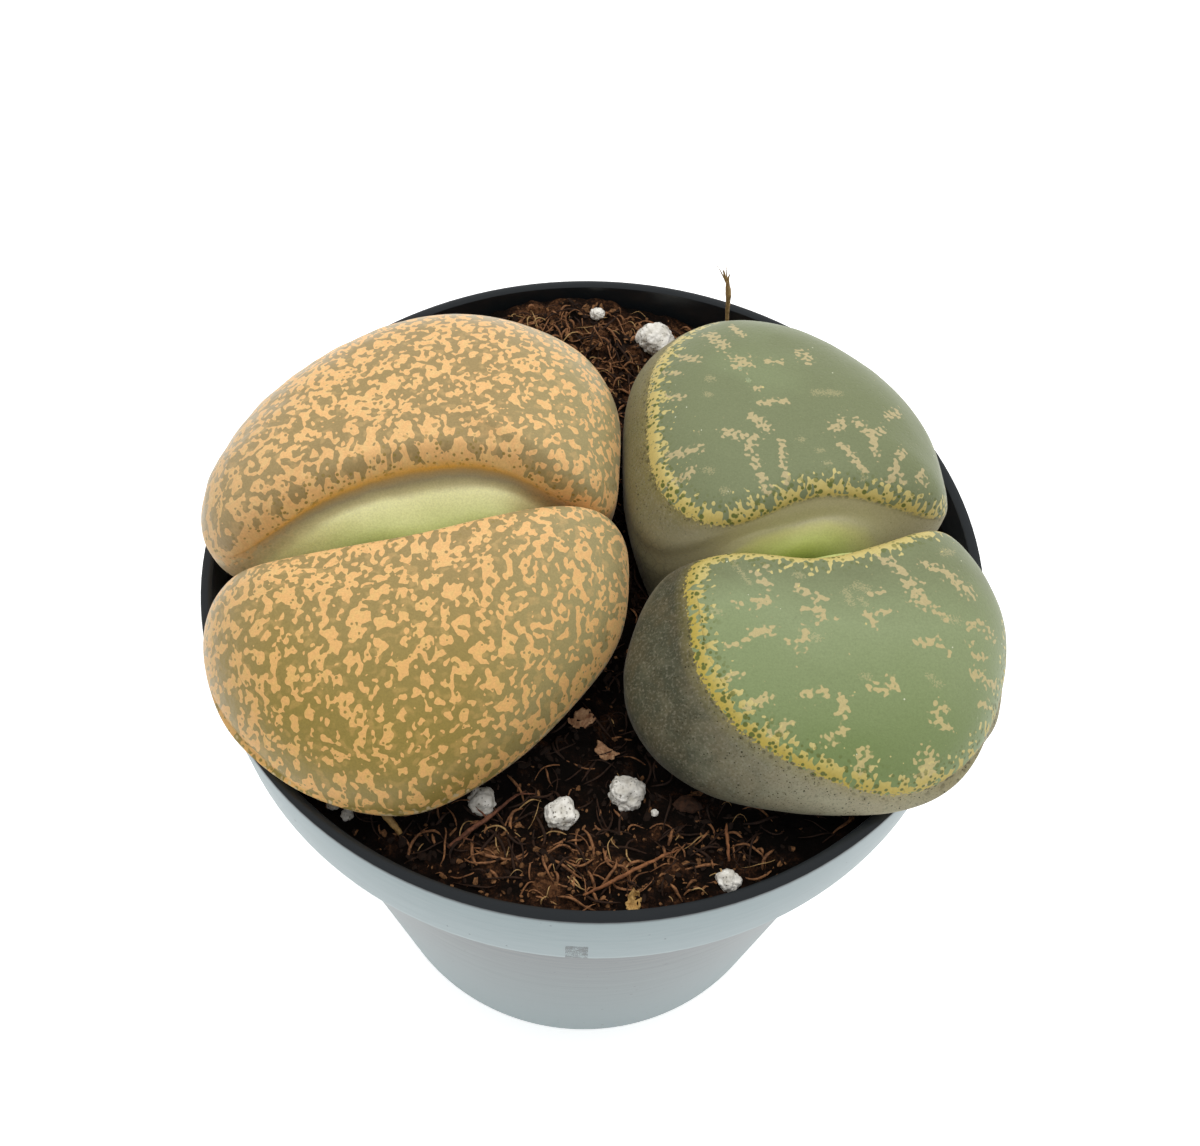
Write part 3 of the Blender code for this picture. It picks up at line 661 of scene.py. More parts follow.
    # Down the fissure: ochre lip, a grey-brown band that is painted shade on the wall under the lip, a pale band
    #     # that is a painted highlight on the ridge below it, then young green, darkening a little into painted
    #     shade
    #     # deeper down. The whole ramp is painted lighter for the light that shines through the translucent
    #     skin.
    depth = add("Math", (wander, 0.9, station), operation="MULTIPLY_ADD")
    depth = add("MapRange", (depth, 3.15, 13.15))
    cleft_painted_light = add("ValToRGB", {"Fac": depth}, stops=[
        (0.0, "#E6B460"), (0.06, "#E2AA50"), (0.2, "#D49C40"), (0.26, "#A88A5C"), (0.34, "#9A8E74"),
        (0.43, "#C4BC92"), (0.5, "#E0DEA8"), (0.57, "#DADAA2"), (0.66, "#C4C88C"), (0.85, "#AEB676"),
    ])
    cleft_painted_light = add("Mix", {0: rusty, 6: cleft_painted_light, 7: "#A0764A"}, **COLOURS)
    lip = add("MapRange", (station, 3.05, 3.35), **SOFT)
    for part in (wall, inner):
        lip = add("Math", (lip, part), operation="MULTIPLY")
    skin = add("Mix", {0: lip, 6: skin, 7: cleft_painted_light}, **COLOURS)
    mottle = add("MapRange", (mottle, 0.3, 0.7, 0.9, 1.08))
    skin = add("VectorMath", {0: skin, "Scale": mottle}, operation="SCALE")
    rough = add("MapRange", (island, 0.0, 1.0, 0.4, 0.52))
    pebbles = add("Math", (pebbles, weathered), operation="MULTIPLY")
    cuticle = {"IOR": 1.42, "Specular IOR Level": 0.4, "Sheen Weight": 0.08, "Sheen Roughness": 0.4}
    finish_material(
        add, {"Base Color": skin, "Roughness": rough, **cuticle},
        (pebbles, 0.6, 0.12, False), (island, 0.7, 0.012, False), (pores, 0.3, 0.02, False),
    )
    return made


def right_skin():
    """Living leaf skin under a waxy cuticle: satin grey-green windows, tan flecks, a ragged yellow margin."""
    look = bpy.context.scene.lithops_right
    made, add = new_material("living lithops skin, grey-green")
    place, rim, station, wall = skin_readings(add)
    true = place_in_mm(add)
    x = add("SeparateXYZ", {0: place})
    y = x.node.outputs[1]
    lobes, shapes, patches, grit, dusty, fuzz, wander, mottle = (
        add("TexNoise", {"Vector": place, "Scale": scale, "Detail": detail})
        for scale, detail in (
            (2.7, 0), (1.0, 2), (0.11, 2), (7.0, 1), (5.0, 3), (4.5, 1), (0.6, 3), (6.0, 3),
        )
    )
    tanned = add("TexNoise", {"Vector": place, "Scale": 0.45, "Detail": 3.0, "Roughness": 0.6})
    cells = add("TexVoronoi", {"Vector": place, "Scale": 2.2, "Smoothness": 0.3}, feature="SMOOTH_F1")
    cracks = add("TexVoronoi", {"Vector": place, "Scale": 0.9}, feature="DISTANCE_TO_EDGE")
    pale, bold = (add("Attribute", output=2, attribute_name=name) for name in ("pale", "bold"))
    pale = add("Math", (grit, 2.4, pale), operation="MULTIPLY_ADD")
    crease = add("VectorMath", (true, (3.5, -4.5, 58.0)), output=1, operation="DISTANCE")
    # What changes over the plant: the value it follows, from and to where, and how much at each end.
    (
        forward, behind, upper, crest, rear, rear_right, side, toward, teeth, closed, deep, pitted, beside,
        stained, speckled, pale, tanned, gritty, cracks, crease, dusty,
    ) = (
        add("MapRange", span)
        for span in (
            (y, -6.0, -23.0),
            (y, -7.0, 2.0),
            (y, -12.0, 4.0),
            (y, -9.0, -6.5, 0.0, 1.8),
            (y, 12.0, 17.0),
            (x, 9.0, 13.0),
            (x, 25.0, 28.5, 0.0, 0.35),
            (x, 6.5, 18.5),
            (rim, 0.1, 2.9, 0.58, 0.0),
            (rim, 1.5, 0.6, 0.0, 0.25),
            (rim, 1.6, 0.0),
            (rim, 2.2, 0.7),
            (rim, -1.3, -0.4, 0.0, 0.7),
            (rim, -1.5, -0.1, 0.0, 0.5),
            (rim, -1.0, 0.25),
            (pale, 1.8, 2.1, 0.0, 0.3),
            (tanned, 0.42, 0.66, 0.0, 0.2),
            (grit, 0.56, 0.66, 0.0, 0.4),
            (cracks, 0.05, 0.02),
            (crease, 5.5, 2.5, 0.0, 0.8),
            (dusty, 0.5, 0.75, 0.0, 0.35),
        )
    )
    forward = add("Math", (patches, 0.5, forward), operation="MULTIPLY_ADD")
    forward = add("Math", (forward, 0.25), operation="SUBTRACT", use_clamp=True)
    window = add(
        "ValToRGB", {"Fac": forward},
        stops=[(0.04, look.window_back), (0.3, look.window_middle), (1.0, look.window_front)],
    )
    # The flecks: ragged strokes under a halo, over faint ones deep in the skin and a few white points.
    ragged = add("TexNoise", {"Vector": true, "Scale": 2.9, "Detail": 0.0})
    for part, weight in ((cells, -0.4), (bold, 0.6)):
        ragged = add("Math", (part, weight, ragged), operation="MULTIPLY_ADD")
    fleck = add("MapRange", (ragged, 0.78, 0.81), **SOFT)
    halo = add("MapRange", (ragged, 0.7, 0.78, 0.0, 0.3))
    fleck = add("Math", (fleck, halo), operation="MAXIMUM")
    flecks = add("Mix", {0: forward, 6: "#B0A27A", 7: "#BAAB76"}, **COLOURS)
    # The margin: yellow for about 1.2 mm, running inward in teeth. It fades out along the far edges, and
    # closes up beside the fissure and over the front leaf's crest.
    rear = add("Math", (rear_right, rear), operation="MULTIPLY")
    fade = add("Math", (rear, side), operation="MAXIMUM")
    margin = add("Math", (teeth, add("Math", (1.0, fade), operation="SUBTRACT")), operation="MULTIPLY")
    front = add("Math", (x, 0.16, -4.9), operation="MULTIPLY_ADD")
    front = add("Math", (front, y), operation="GREATER_THAN")
    crest = add("Math", (crest, front), operation="MULTIPLY")
    for part, weight in ((closed, wall), (closed, crest), (lobes, 0.8), (shapes, 0.6), (cells, -0.4)):
        margin = add("Math", (part, weight, margin), operation="MULTIPLY_ADD")
    band = add("MapRange", (margin, 0.9, 0.94), **SOFT)
    yellow = add("Mix", {0: upper, 6: look.margin_front, 7: look.margin_back}, **COLOURS)
    yellow = add("Mix", {0: deep, 6: "#C2B478", 7: yellow}, **COLOURS)
    pits = dots(add, true, (2.2, 0.14, 0.9), (1.3, 0.21, 0.8))
    pitted = add("Math", (pits, pitted), operation="MULTIPLY")
    face = window
    for share, over in (
        (pale, "#C3B488"), (dots(add, place, (0.8, 0.07, 0.4)), "#C5C8AC"), (fleck, flecks), (band, yellow),
        (pitted, "#5F6630"),
    ):
        face = add("Mix", {0: share, 6: face, 7: over}, **COLOURS)
    # Below the margin: taupe, darkened with painted shade in the gap between the plants, under dark specks, fine
    #     # cracks in the dry crease between the two leaves, and a pale bloom.
    toward = add("Math", (shapes, 0.5, toward), operation="MULTIPLY_ADD")
    toward = add("Math", (toward, 0.25), operation="SUBTRACT", use_clamp=True)
    specks = dots(add, place, (1.3, 0.08, 0.7), (3.0, 0.055, 0.8))
    beside = add("Math", (pits, beside), operation="MULTIPLY")
    specks = add("Math", (specks, beside), operation="MAXIMUM")
    cracks = add("Math", (cracks, crease), operation="MULTIPLY")
    # The band's outer edge breaks up into speckles.
    outside = add("Math", (speckled, fuzz), operation="ADD")
    outside = add("MapRange", (outside, 0.98, 1.12), **SOFT)
    skin = look.side_in_painted_shade
    for share, over in (
        (behind, look.side_back), (toward, look.side_open), (tanned, "#7A6546"), (gritty, "#4A4730"),
        (stained, "#8A7F45"), (specks, "#35321F"), (cracks, "#2C2A1C"), (dusty, "#9A9482"), (outside, face),
    ):
        skin = add("Mix", {0: share, 6: skin, 7: over}, **COLOURS)
    # Down the fissure: yellow lip, grey olive that is painted shade on the wall under the lip, a paler line that
    #     # is a painted highlight on the ridge, then fresh green in the middle only, darkening into painted
    #     shadow at
    #     # the bottom of the crevice.
    depth = add("Math", (wander, 0.8, station), operation="MULTIPLY_ADD")
    shallow = add("Math", (depth, 5.6), operation="MINIMUM")
    for edge, middle, late in ((9.0, 15.0, 2.2), (27.0, 21.5, 1.6)):
        late = add("MapRange", (x, edge, middle, late, 0.0))
        depth = add("Math", (depth, late), operation="SUBTRACT")
    depth = add("Math", (depth, shallow), operation="MAXIMUM")
    depth = add("MapRange", (depth, 3.4, 13.4))
    cleft_painted_light = add("ValToRGB", {"Fac": depth}, stops=[
        (0.04, "#C4AE62"), (0.09, "#B8A874"), (0.15, "#B5AD8A"), (0.45, "#BAB592"), (0.53, "#C8C68C"),
        (0.6, "#BEC47E"), (0.7, "#AEBA68"), (0.9, "#7E9240"),
    ])
    # The front leaf keeps its face over the whole crest.
    lip = add("Math", (front, -0.8, station), operation="MULTIPLY_ADD")
    lip = add("MapRange", (lip, 4.0, 4.4), **SOFT)
    lip = add("Math", (lip, wall), operation="MULTIPLY")
    skin = add("Mix", {0: lip, 6: skin, 7: cleft_painted_light}, **COLOURS)
    mottle = add("MapRange", (mottle, 0.3, 0.7, 0.92, 1.06))
    skin = add("VectorMath", {0: skin, "Scale": mottle}, operation="SCALE")
    rough = add("MapRange", (outside, 0.0, 1.0, 0.65, 0.5))
    cuticle = {"IOR": 1.42, "Specular IOR Level": 0.35, "Sheen Weight": 0.08, "Sheen Roughness": 0.4}
    finish_material(
        add, {"Base Color": skin, "Roughness": rough, **cuticle},
        (fleck, 0.5, 0.01, False), (specks, 0.6, 0.02, True), (dusty, 0.3, 0.03, False),
    )
    return made


# ---- the pot -----------------------------------------------------------------------------------


def pot_profile(size):
    """Half section from the middle of the underside, round the outside and back down the inside."""
    rim, base, height, wall = (v / MM for v in (size.rim_radius, size.base_radius, size.height, size.wall))
    band_z = height - BAND_HEIGHT
    band_foot, body_top = rim - BAND_FOOT_INSET, rim - BODY_TOP_INSET
    return [
        (0, 0),
        (base - 0.8, 0),
        (base - 0.25, 0.2),
        (base, 0.8),
        (body_top, band_z),
        (band_foot - 0.25, band_z),
        (band_foot, band_z + 0.25),
        (rim, height - 0.35),
        (rim - 0.08, height - 0.1),
        (rim - 0.3, height),
        (rim - wall + 0.1, height),
        (rim - wall - 0.08, height - 0.1),
        (rim - wall - 0.15, height - 0.35),
        (band_foot - wall, band_z + wall + 0.4),
        (body_top - wall, band_z + wall - 0.2),
        (base - wall, FLOOR + 0.5),
        (base - wall - 0.6, FLOOR),
        (0, FLOOR),
    ]


def spun(profile, steps):
    """A profile of (radius, height) turned once round Z, its seam and poles closed."""
    bm = bmesh.new()
    verts = [bm.verts.new((r, 0, z)) for r, z in profile]
    edges = [bm.edges.new(pair) for pair in zip(verts, verts[1:])]
    bmesh.ops.spin(
        bm, geom=verts + edges, cent=(0, 0, 0), axis=(0, 0, 1), angle=math.tau, steps=steps, use_merge=True
    )
    bmesh.ops.remove_doubles(bm, verts=bm.verts, dist=1e-4)
    bmesh.ops.recalc_face_normals(bm, faces=bm.faces)
    return bm


def mark_dust_and_reflection(mesh, size):
    """Marks the pot's outer face, 1 below the lip and 0 on the lip and inside, for its dust and painted
    reflection.
    """
    outline = [(z, r) for r, z in pot_profile(size)[1:8]]
    heights, radii = zip(*outline)
    dust_and_reflection = mesh.attributes.new("dust_and_reflection", "FLOAT", "POINT")
    for vert, value in zip(mesh.vertices, dust_and_reflection.data):
        r, z = math.hypot(vert.co.x, vert.co.y) / MM, vert.co.z / MM
        value.value = float(r > np.interp(z, heights, radii) - 0.3 and z < heights[-1] + 0.05)


def pot_plastic():
    """Injection-moulded black polypropylene: near-black lip and inside, outside a grey of dust and painted
    reflection.
    """
    made, add = new_material("moulded black polypropylene")
    place = place_in_mm(add)
    x = add("SeparateXYZ", {0: place})
    y, z = x.node.outputs[1:]
    # Rub marks lie in short level streaks.
    level = add("Mapping", {"Vector": place, "Scale": (0.35, 0.35, 2.6)})
    rubbed = add("TexNoise", {"Vector": level, "Scale": 0.9, "Detail": 5.0, "Roughness": 0.7})
    rubbed = add("MapRange", (rubbed, 0.45, 0.75, 0.0, 0.15))
    dust_and_reflection = add("Attribute", output=2, attribute_name="dust_and_reflection")
    foot = RIM_TOP - BAND_HEIGHT
    band = add("MapRange", (z, foot - 0.2, foot + 0.2))
    # Painted highlight: a lighter line along the edge at the band's foot.
    seam = add("Math", (z, foot + 0.25, 0.3), operation="COMPARE")
    seam = add("Math", (seam, 0.4), operation="MULTIPLY")
    # One scuff on the front of the band, scored upright, and scattered dark nicks.
    scuff = add("Math", (x, SCUFF[0], SCUFF[2]), operation="COMPARE")
    upright = add("Math", (z, SCUFF[1], SCUFF[3]), operation="COMPARE")
    facing = add("Math", (y, 0.0), operation="LESS_THAN")
    scores = add("Mapping", {"Vector": place, "Scale": (5.0, 5.0, 0.9)})
    scores = add("TexNoise", {"Vector": scores, "Detail": 2.0})
    ragged = add("TexNoise", {"Vector": place, "Scale": 1.6, "Detail": 2.0})
    scores = add("Math", (scores, ragged), operation="ADD")
    scores = add("MapRange", (scores, 0.9, 1.05, 0.0, 0.8))
    for part in (upright, facing, scores):
        scuff = add("Math", (scuff, part), operation="MULTIPLY")
    nicks = dots(add, place, (0.4, 0.17, 0.35), (1.1, 0.08, 0.15))
    marks = add("Math", (scuff, nicks), operation="MAXIMUM")
    # Painted reflection of the bright floor over a little dust: grey outside, lighter on the band, which mirrors
    # more.
    dust = "#6F8487"
    for share, over in ((band, "#87979A"), (seam, "#A3B0B2"), (rubbed, "#5A686B"), (marks, "#3C4445")):
        dust = add("Mix", {0: share, 6: dust, 7: over}, **COLOURS)
    colour = add("Mix", {0: dust_and_reflection, 6: bpy.context.scene.lithops_pot.colour, 7: dust}, **COLOURS)
    rough = add("MapRange", (dust_and_reflection, 0.0, 1.0, 0.3, 0.42))
    grain = add("TexNoise", {"Vector": place, "Scale": 3.2, "Detail": 3.0})
    waves = add("TexNoise", {"Vector": level, "Scale": 0.25, "Detail": 2.0})
    satin = {"IOR": 1.5, "Sheen Weight": 0.06, "Sheen Roughness": 0.5}
    finish_material(
        add, {"Base Color": colour, "Roughness": rough, **satin},
        (waves, 0.35, 0.15, False), (grain, 0.25, 0.02, False), (marks, 0.5, 0.03, True),
    )
    return made


# ---- the peat and what lies on it --------------------------------------------------------------


def peat_surface(x, y):
    """The peat's crumbly top: clods and grains over its lumps."""
    clod = noise.noise((x * 0.8, y * 0.8, 5.0))
    grain = noise.noise((x * 2.2, y * 2.2, 9.0))
    return soil_height(x, y) + 0.45 * clod + 0.22 * grain - 0.3 * max(0.0, 0.25 - abs(clod - 0.1))


def leaf_shells():
    """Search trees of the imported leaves, in millimetres."""
    shells = []
    for name in LEAVES:
        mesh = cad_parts[name].data
        corners = [v.co / MM for v in mesh.vertices]
        shells.append(BVHTree.FromPolygons(corners, [f.vertices for f in mesh.polygons]))
    return shells


def in_the_open(shells, place, gap=0.2):
    """Whether a place is inside the pot and outside every leaf, by at least the gap."""
    if math.hypot(place.x, place.y) > PEAT_RADIUS - 0.5 - gap:
        return False
    for shell in shells:
        at, normal, _, _ = shell.find_nearest(place)
        if (place - at).dot(normal) < gap:
            return False
    return True


def warmth(x, y):
    """Where the peat is dry, fluffy and reddish: front centre and along the back."""
    front = math.exp(-((x / 11.0) ** 2)) * min(max((-y - 22.0) / 4.0, 0.0), 1.0)
    return max(front, min(max((y - 16.0) / 6.0, 0.0), 1.0))


def strand_mesh(paths, sides):
    """Tapering strands through points of (place, radius), skinned as closed tubes."""
    curve = bpy.data.curves.new("strands", "CURVE")
    curve.dimensions, curve.bevel_depth, curve.bevel_resolution, curve.use_fill_caps = "3D", 1.0, sides, True
    curve.resolution_u = 4
    for path in paths:
        spline = curve.splines.new("NURBS")
        spline.points.add(len(path) - 1)
        for point, (place, radius) in zip(spline.points, path):
            point.co = (*place, 1)
            point.radius = radius
        spline.order_u, spline.use_endpoint_u = min(4, len(path)), True
        spline.resolution_u = 2 if sides == 0 else 6
    obj = bpy.data.objects.new("strands", curve)
    bpy.context.scene.collection.objects.link(obj)
    graph = bpy.context.evaluated_depsgraph_get()
    mesh = bpy.data.meshes.new_from_object(obj.evaluated_get(graph), depsgraph=graph)
    bm = bmesh.new()
    bm.from_mesh(mesh)
    bmesh.ops.remove_doubles(bm, verts=bm.verts, dist=1e-4)
    bmesh.ops.recalc_face_normals(bm, faces=bm.faces)
    bpy.data.objects.remove(obj, do_unlink=True)
    bpy.data.curves.remove(curve)
    bpy.data.meshes.remove(mesh)
    return bm


def spot(rng):
    """A random place on the peat, as likely anywhere."""
    turn, out = rng.uniform(0, math.tau), PEAT_RADIUS * math.sqrt(rng.random())
    return out * math.cos(turn), out * math.sin(turn)


def fibre_paths(rng, shells, count, length, radius, favour):
    """Fibres lying on the peat: gently curling, with both ends dipping into it."""
    paths = []
    while len(paths) < count:
        x, y = spot(rng)
        if rng.random() > favour(x, y):
            continue
        heading, curl = rng.uniform(0, math.tau), rng.uniform(-0.45, 0.45)
        step = rng.uniform(*length) / 5
        thick, lift = rng.uniform(*radius), rng.uniform(0.15, 0.9)
        path = []
        for n in range(6):
            rise = -0.25 + lift * math.sin(math.pi * n / 5)
            radius_here = thick * (0.25, 0.9, 1, 0.85, 0.6, 0.15)[n]
            path.append((Vector((x, y, peat_surface(x, y) + rise)), radius_here))
            heading += curl + rng.uniform(-0.55, 0.55)
            x, y = x + step * math.cos(heading), y + step * math.sin(heading)
        if all(in_the_open(shells, place, thick) for place, _ in path):
            paths.append(path)
    return paths


def crumb_mesh(rng, shells, count, size, favour):
    """Loose crumbs bedded in the peat, each a small squashed, jagged lump."""
    bm = bmesh.new()
    made = 0
    while made < count:
        x, y = spot(rng)
        half = rng.uniform(*size) * rng.uniform(0.6, 1.0)
        place = Vector((x, y, peat_surface(x, y) + 0.25 * half))
        if rng.random() > favour(x, y) or not in_the_open(shells, place, half):
            continue
        sides = [half * rng.uniform(*span) for span in ((0.9, 2.1), (0.5, 1), (0.2, 0.6))]
        turn = Matrix.Rotation(rng.uniform(0, math.tau), 4, "Z")
        tilt = Matrix.Rotation(rng.uniform(-1.1, 1.1), 4, "Y")
        matrix = Matrix.Translation(place) @ turn @ tilt @ Matrix.Diagonal((*sides, 1))
        for vert in bmesh.ops.create_icosphere(bm, subdivisions=1, radius=1, matrix=matrix)["verts"]:
            vert.co += half * 0.5 * noise.noise_vector(vert.co * 2.3)
        made += 1
    return bm


def peat_finish():
    """Sphagnum peat, dried on top: matt, near-black in the hollows, red-brown where it is dry and fluffy."""
    look = bpy.context.scene.lithops_peat
    made, add = new_material("dried sphagnum peat")
    place = place_in_mm(add)
    dry = add("Attribute", output=2, attribute_name="dry")
    grains = add("TexNoise", {"Vector": place, "Scale": 3.4, "Detail": 5.0, "Roughness": 0.8})
    patches = add("TexNoise", {"Vector": place, "Scale": 0.4, "Detail": 2.0})
    tone = add("Math", (patches, -0.35), operation="ADD")
    for part, weight in ((grains, 0.9), (dry, 0.16)):
        tone = add("Math", (part, weight, tone), operation="MULTIPLY_ADD")
    stops = [(0.56, look.dark), (0.72, "#190F0A"), (0.84, look.dry), (0.98, "#6A472E")]
    colour = add("ValToRGB", {"Fac": tone}, stops=stops)
    # Fibre ends on the surface, drawn as fine streaks.
    streaks = add("TexNoise", {"Vector": place, "Scale": 6.0, "Detail": 3.0, "Distortion": 2.0})
    finish_material(
        add, {"Base Color": colour, "Roughness": 0.95, "Specular IOR Level": 0.2},
        (grains, 0.9, 0.35, False), (streaks, 0.6, 0.1, False),
    )
    return made


def plant_matter(name, dark, light, roughness, scale):
    """Dead plant matter: fibrous and matt, streaked between two tones."""
    made, add = new_material(name)
    noisy = {"Vector": place_in_mm(add), "Scale": scale, "Detail": 4.0, "Roughness": 0.7, "Distortion": 1.0}
    streaks = add("TexNoise", noisy)
    share = add("MapRange", (streaks, 0.32, 0.68))
    colour = add("Mix", {0: share, 6: dark, 7: light}, **COLOURS)
    finish_material(add, {"Base Color": colour, "Roughness": roughness}, (streaks, 0.7, 0.1, False))
    return made


def perlite_finish():
    """Expanded volcanic glass: chalk white, matt, with grey pinholes of burst bubbles."""
    made, add = new_material("expanded perlite")
    place = place_in_mm(add)
    bubbles = add("TexVoronoi", {"Vector": place, "Scale": 4.2})
    pinholes = dots(add, place, (4.6, 0.055, 0.4), (2.6, 0.09, 0.25))
    stain = add("TexNoise", {"Vector": place, "Scale": 1.1, "Detail": 3.0})
    stain = add("MapRange", (stain, 0.4, 0.7))
    colour = add("Mix", {0: stain, 6: bpy.context.scene.lithops_peat.perlite, 7: "#B9B4A8"}, **COLOURS)
    colour = add("Mix", {0: pinholes, 6: colour, 7: "#918C80"}, **COLOURS)
    finish_material(
        add, {"Base Color": colour, "Roughness": 0.95}, (bubbles, 0.5, 0.1, False), (pinholes, 0.8, 0.1, True)
    )
    return made


def dew():
    """Clear water: smooth drops that bend the light."""
    made, add = new_material("water")
    ripple = add("TexNoise", {"Vector": add("TexCoord", output=3), "Scale": 900.0})
    water = {"Base Color": (1.0, 1.0, 1.0), "Roughness": 0.02, "IOR": 1.33, "Transmission Weight": 1.0}
    finish_material(add, water, (ripple, 0.05, 0.02, False))
    return made


# ---- operators ---------------------------------------------------------------------------------


def tint(name, description, colour):
    """A setting that holds a colour."""
    return FloatVectorProperty(name=name, description=description, default=linear(colour), subtype="COLOR")


class PotSettings(bpy.types.PropertyGroup):
    rim_radius: FloatProperty(
        name="Rim radius", description="Radius of the pot's rim", default=POT_HIGH.x, unit="LENGTH"
    )
    base_radius: FloatProperty(
        name="Base radius", description="Radius of the pot's foot", default=22.6 * MM, unit="LENGTH"
    )
    height: FloatProperty(name="Height", description="Height of the pot", default=POT_HIGH.z, unit="LENGTH")
    wall: FloatProperty(name="Wall", description="Thickness of the wall", default=0.9 * MM, unit="LENGTH")
    colour: tint("Plastic", "Colour of the plastic", "#12171B")


class PeatSettings(bpy.types.PropertyGroup):
    dark: tint("Damp peat", "Colour down in the hollows", "#0D0906")
    dry: tint("Dry peat", "Colour of the dry tops", "#3A2416")
    perlite: tint("Perlite", "Colour of the clean grains", "#E9E6DE")
    fibres: IntProperty(name="Fibres", description="How many of each kind of fibre", default=620, min=0)
    crumbs: IntProperty(name="Crumbs", description="How many of each kind of crumb", default=1400, min=0)
    seed: IntProperty(name="Seed", description="Changes how the loose bits lie", default=7)


class LeftSettings(bpy.types.PropertyGroup):
    window_back: tint("Window, back", "Window colour away from the front", "#9A8559")
    window_front: tint("Window, front", "Window colour low at the front", "#8B793B")
    island_back: tint("Islands, back", "Island colour away from the front", "#DEB77B")
    island_front: tint("Islands, front", "Island colour low at the front", "#CFA65F")


class RightSettings(bpy.types.PropertyGroup):
    window_back: tint("Window, back", "Window colour away from the front", "#757C5B")
    window_middle: tint("Window, middle", "Window colour half-way forward", "#86916B")
    window_front: tint("Window, front", "Window colour low at the front", "#738352")
    margin_back: tint("Margin, back", "Margin colour of the back leaf", "#C0AD68")
    margin_front: tint("Margin, front", "Margin colour low at the front", "#B09C48")
    # Painted shade: the side's colour where it stands darkened in the gap between the plants.
    side_in_painted_shade: tint("Side, gap", "Side colour between the plants", "#414232")
    side_back: tint("Side, back", "Side colour of the back leaf", "#77714B")
    side_open: tint("Side, open", "Side colour in the open", "#9B977D")


class LITHOPS_OT_pot(bpy.types.Operator):
    """Spins the pot and cuts its drain holes"""

    bl_idname = "lithops.pot"
    bl_label = "Pot"

    def execute(self, context):
        size = context.scene.lithops_pot
        shell = spun(pot_profile(size), POT_STEPS)
        pot = store("nursery_pot", shell, pot_plastic(), POT_SHARP)
        cutters = bmesh.new()
        for n in range(DRAIN_HOLES):
            turn = math.tau * (n + 0.5) / DRAIN_HOLES
            place = (DRAIN_CIRCLE_RADIUS * math.cos(turn), DRAIN_CIRCLE_RADIUS * math.sin(turn), FLOOR / 2)
            bmesh.ops.create_cone(
                cutters, cap_ends=True, segments=32, radius1=DRAIN_HOLE_RADIUS, radius2=DRAIN_HOLE_RADIUS,
                depth=FLOOR + 3, matrix=Matrix.Translation(place),
            )
        cutter = store("drain_cutter", cutters, pot.data.materials[0])
        cut = pot.modifiers.new("drain holes", "BOOLEAN")
        cut.object = cutter
        cut.operation = "DIFFERENCE"
        apply_modifiers(pot)
        pot.data.set_sharp_from_angle(angle=math.radians(POT_SHARP))
        bpy.data.objects.remove(cutter, do_unlink=True)
        mark_dust_and_reflection(pot.data, size)
        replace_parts(pot, "pot")
        return {"FINISHED"}


class LITHOPS_OT_left_leaves(bpy.types.Operator):
    """Models the two leaves of the left plant"""

    bl_idname = "lithops.left_leaves"
    bl_label = "Left plant"

    def execute(self, context):
        skin = left_skin()
        for name in ("left_back_leaf", "left_front_leaf"):
            make_leaf(name, skin, left_relief)
        return {"FINISHED"}


class LITHOPS_OT_right_leaves(bpy.types.Operator):
    """Models the two leaves of the right plant"""

    bl_idname = "lithops.right_leaves"
    bl_label = "Right plant"

    def execute(self, context):
        skin = right_skin()
        for name in ("right_back_leaf", "right_front_leaf"):
            make_leaf(name, skin, right_relief)
        return {"FINISHED"}


class LITHOPS_OT_peat(bpy.types.Operator):
    """Fills the pot with crumbly peat and buries the roots in it"""

    bl_idname = "lithops.peat"
    bl_label = "Peat"

    def execute(self, context):
        finish = peat_finish()
        top = [(PEAT_RADIUS * n / PEAT_RINGS, SOIL_LEVEL) for n in range(PEAT_RINGS + 1)]
        bm = spun(top + list(PEAT_SIDE), PEAT_STEPS)
        dry = bm.verts.layers.float.new("dry")
        for vert in bm.verts:
            if vert.co.z > SOIL_LEVEL - 0.01:
                x, y = vert.co.x, vert.co.y
                vert.co.z = peat_surface(x, y)
                vert[dry] = warmth(x, y) + 1.2 * (vert.co.z - soil_height(x, y))
        peat = store("peat", bm, finish)
        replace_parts(peat, "soil")
        bark = plant_matter("root bark, dry cork", "#3B2A1C", "#6B5136", 0.85, 2.0)
        for name in ("left_root", "right_root"):
            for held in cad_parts[name].material_slots:
                held.material = bark
        return {"FINISHED"}


class LITHOPS_OT_crumbs(bpy.types.Operator):
    """Scatters crumbs and fibres over the peat"""

    bl_idname = "lithops.crumbs"
    bl_label = "Crumbs and fibres"

    def execute(self, context):
        peat = context.scene.lithops_peat
        rng = random.Random(peat.seed)
        shells = leaf_shells()
        everywhere, warm = (lambda x, y: 1.0), (lambda x, y: 0.12 + 0.88 * warmth(x, y))
        for name, colours, size, favour in (
            ("dark_peat_crumbs", ("#0E0906", "#2A1A10"), (0.12, 0.42), everywhere),
            ("dry_peat_crumbs", ("#33200F", "#8E6440"), (0.08, 0.32), warm),
        ):
            finish = plant_matter(name.replace("_", " "), *colours, 0.95, 3.0)
            store(name, crumb_mesh(rng, shells, peat.crumbs, size, favour), finish, CRUMB_SHARP)
        for name, colours, length, radius, favour in (
            ("dark_fibres", ("#150D08", "#3E281B"), (1.5, 5.0), (0.05, 0.14), everywhere),
            ("red_fibres", ("#432A1B", "#9E6E48"), (1.0, 4.2), (0.05, 0.16), warm),
            ("straw_fibres", ("#7A5832", "#C8A570"), (0.8, 3.6), (0.03, 0.08), warm),
        ):
            finish = plant_matter(name.replace("_", " "), *colours, 0.8, 2.0)
            count = peat.fibres // 3 if name == "straw_fibres" else peat.fibres
            paths = fibre_paths(rng, shells, count, length, radius, favour)
            store(name, strand_mesh(paths, 0), finish)
        return {"FINISHED"}


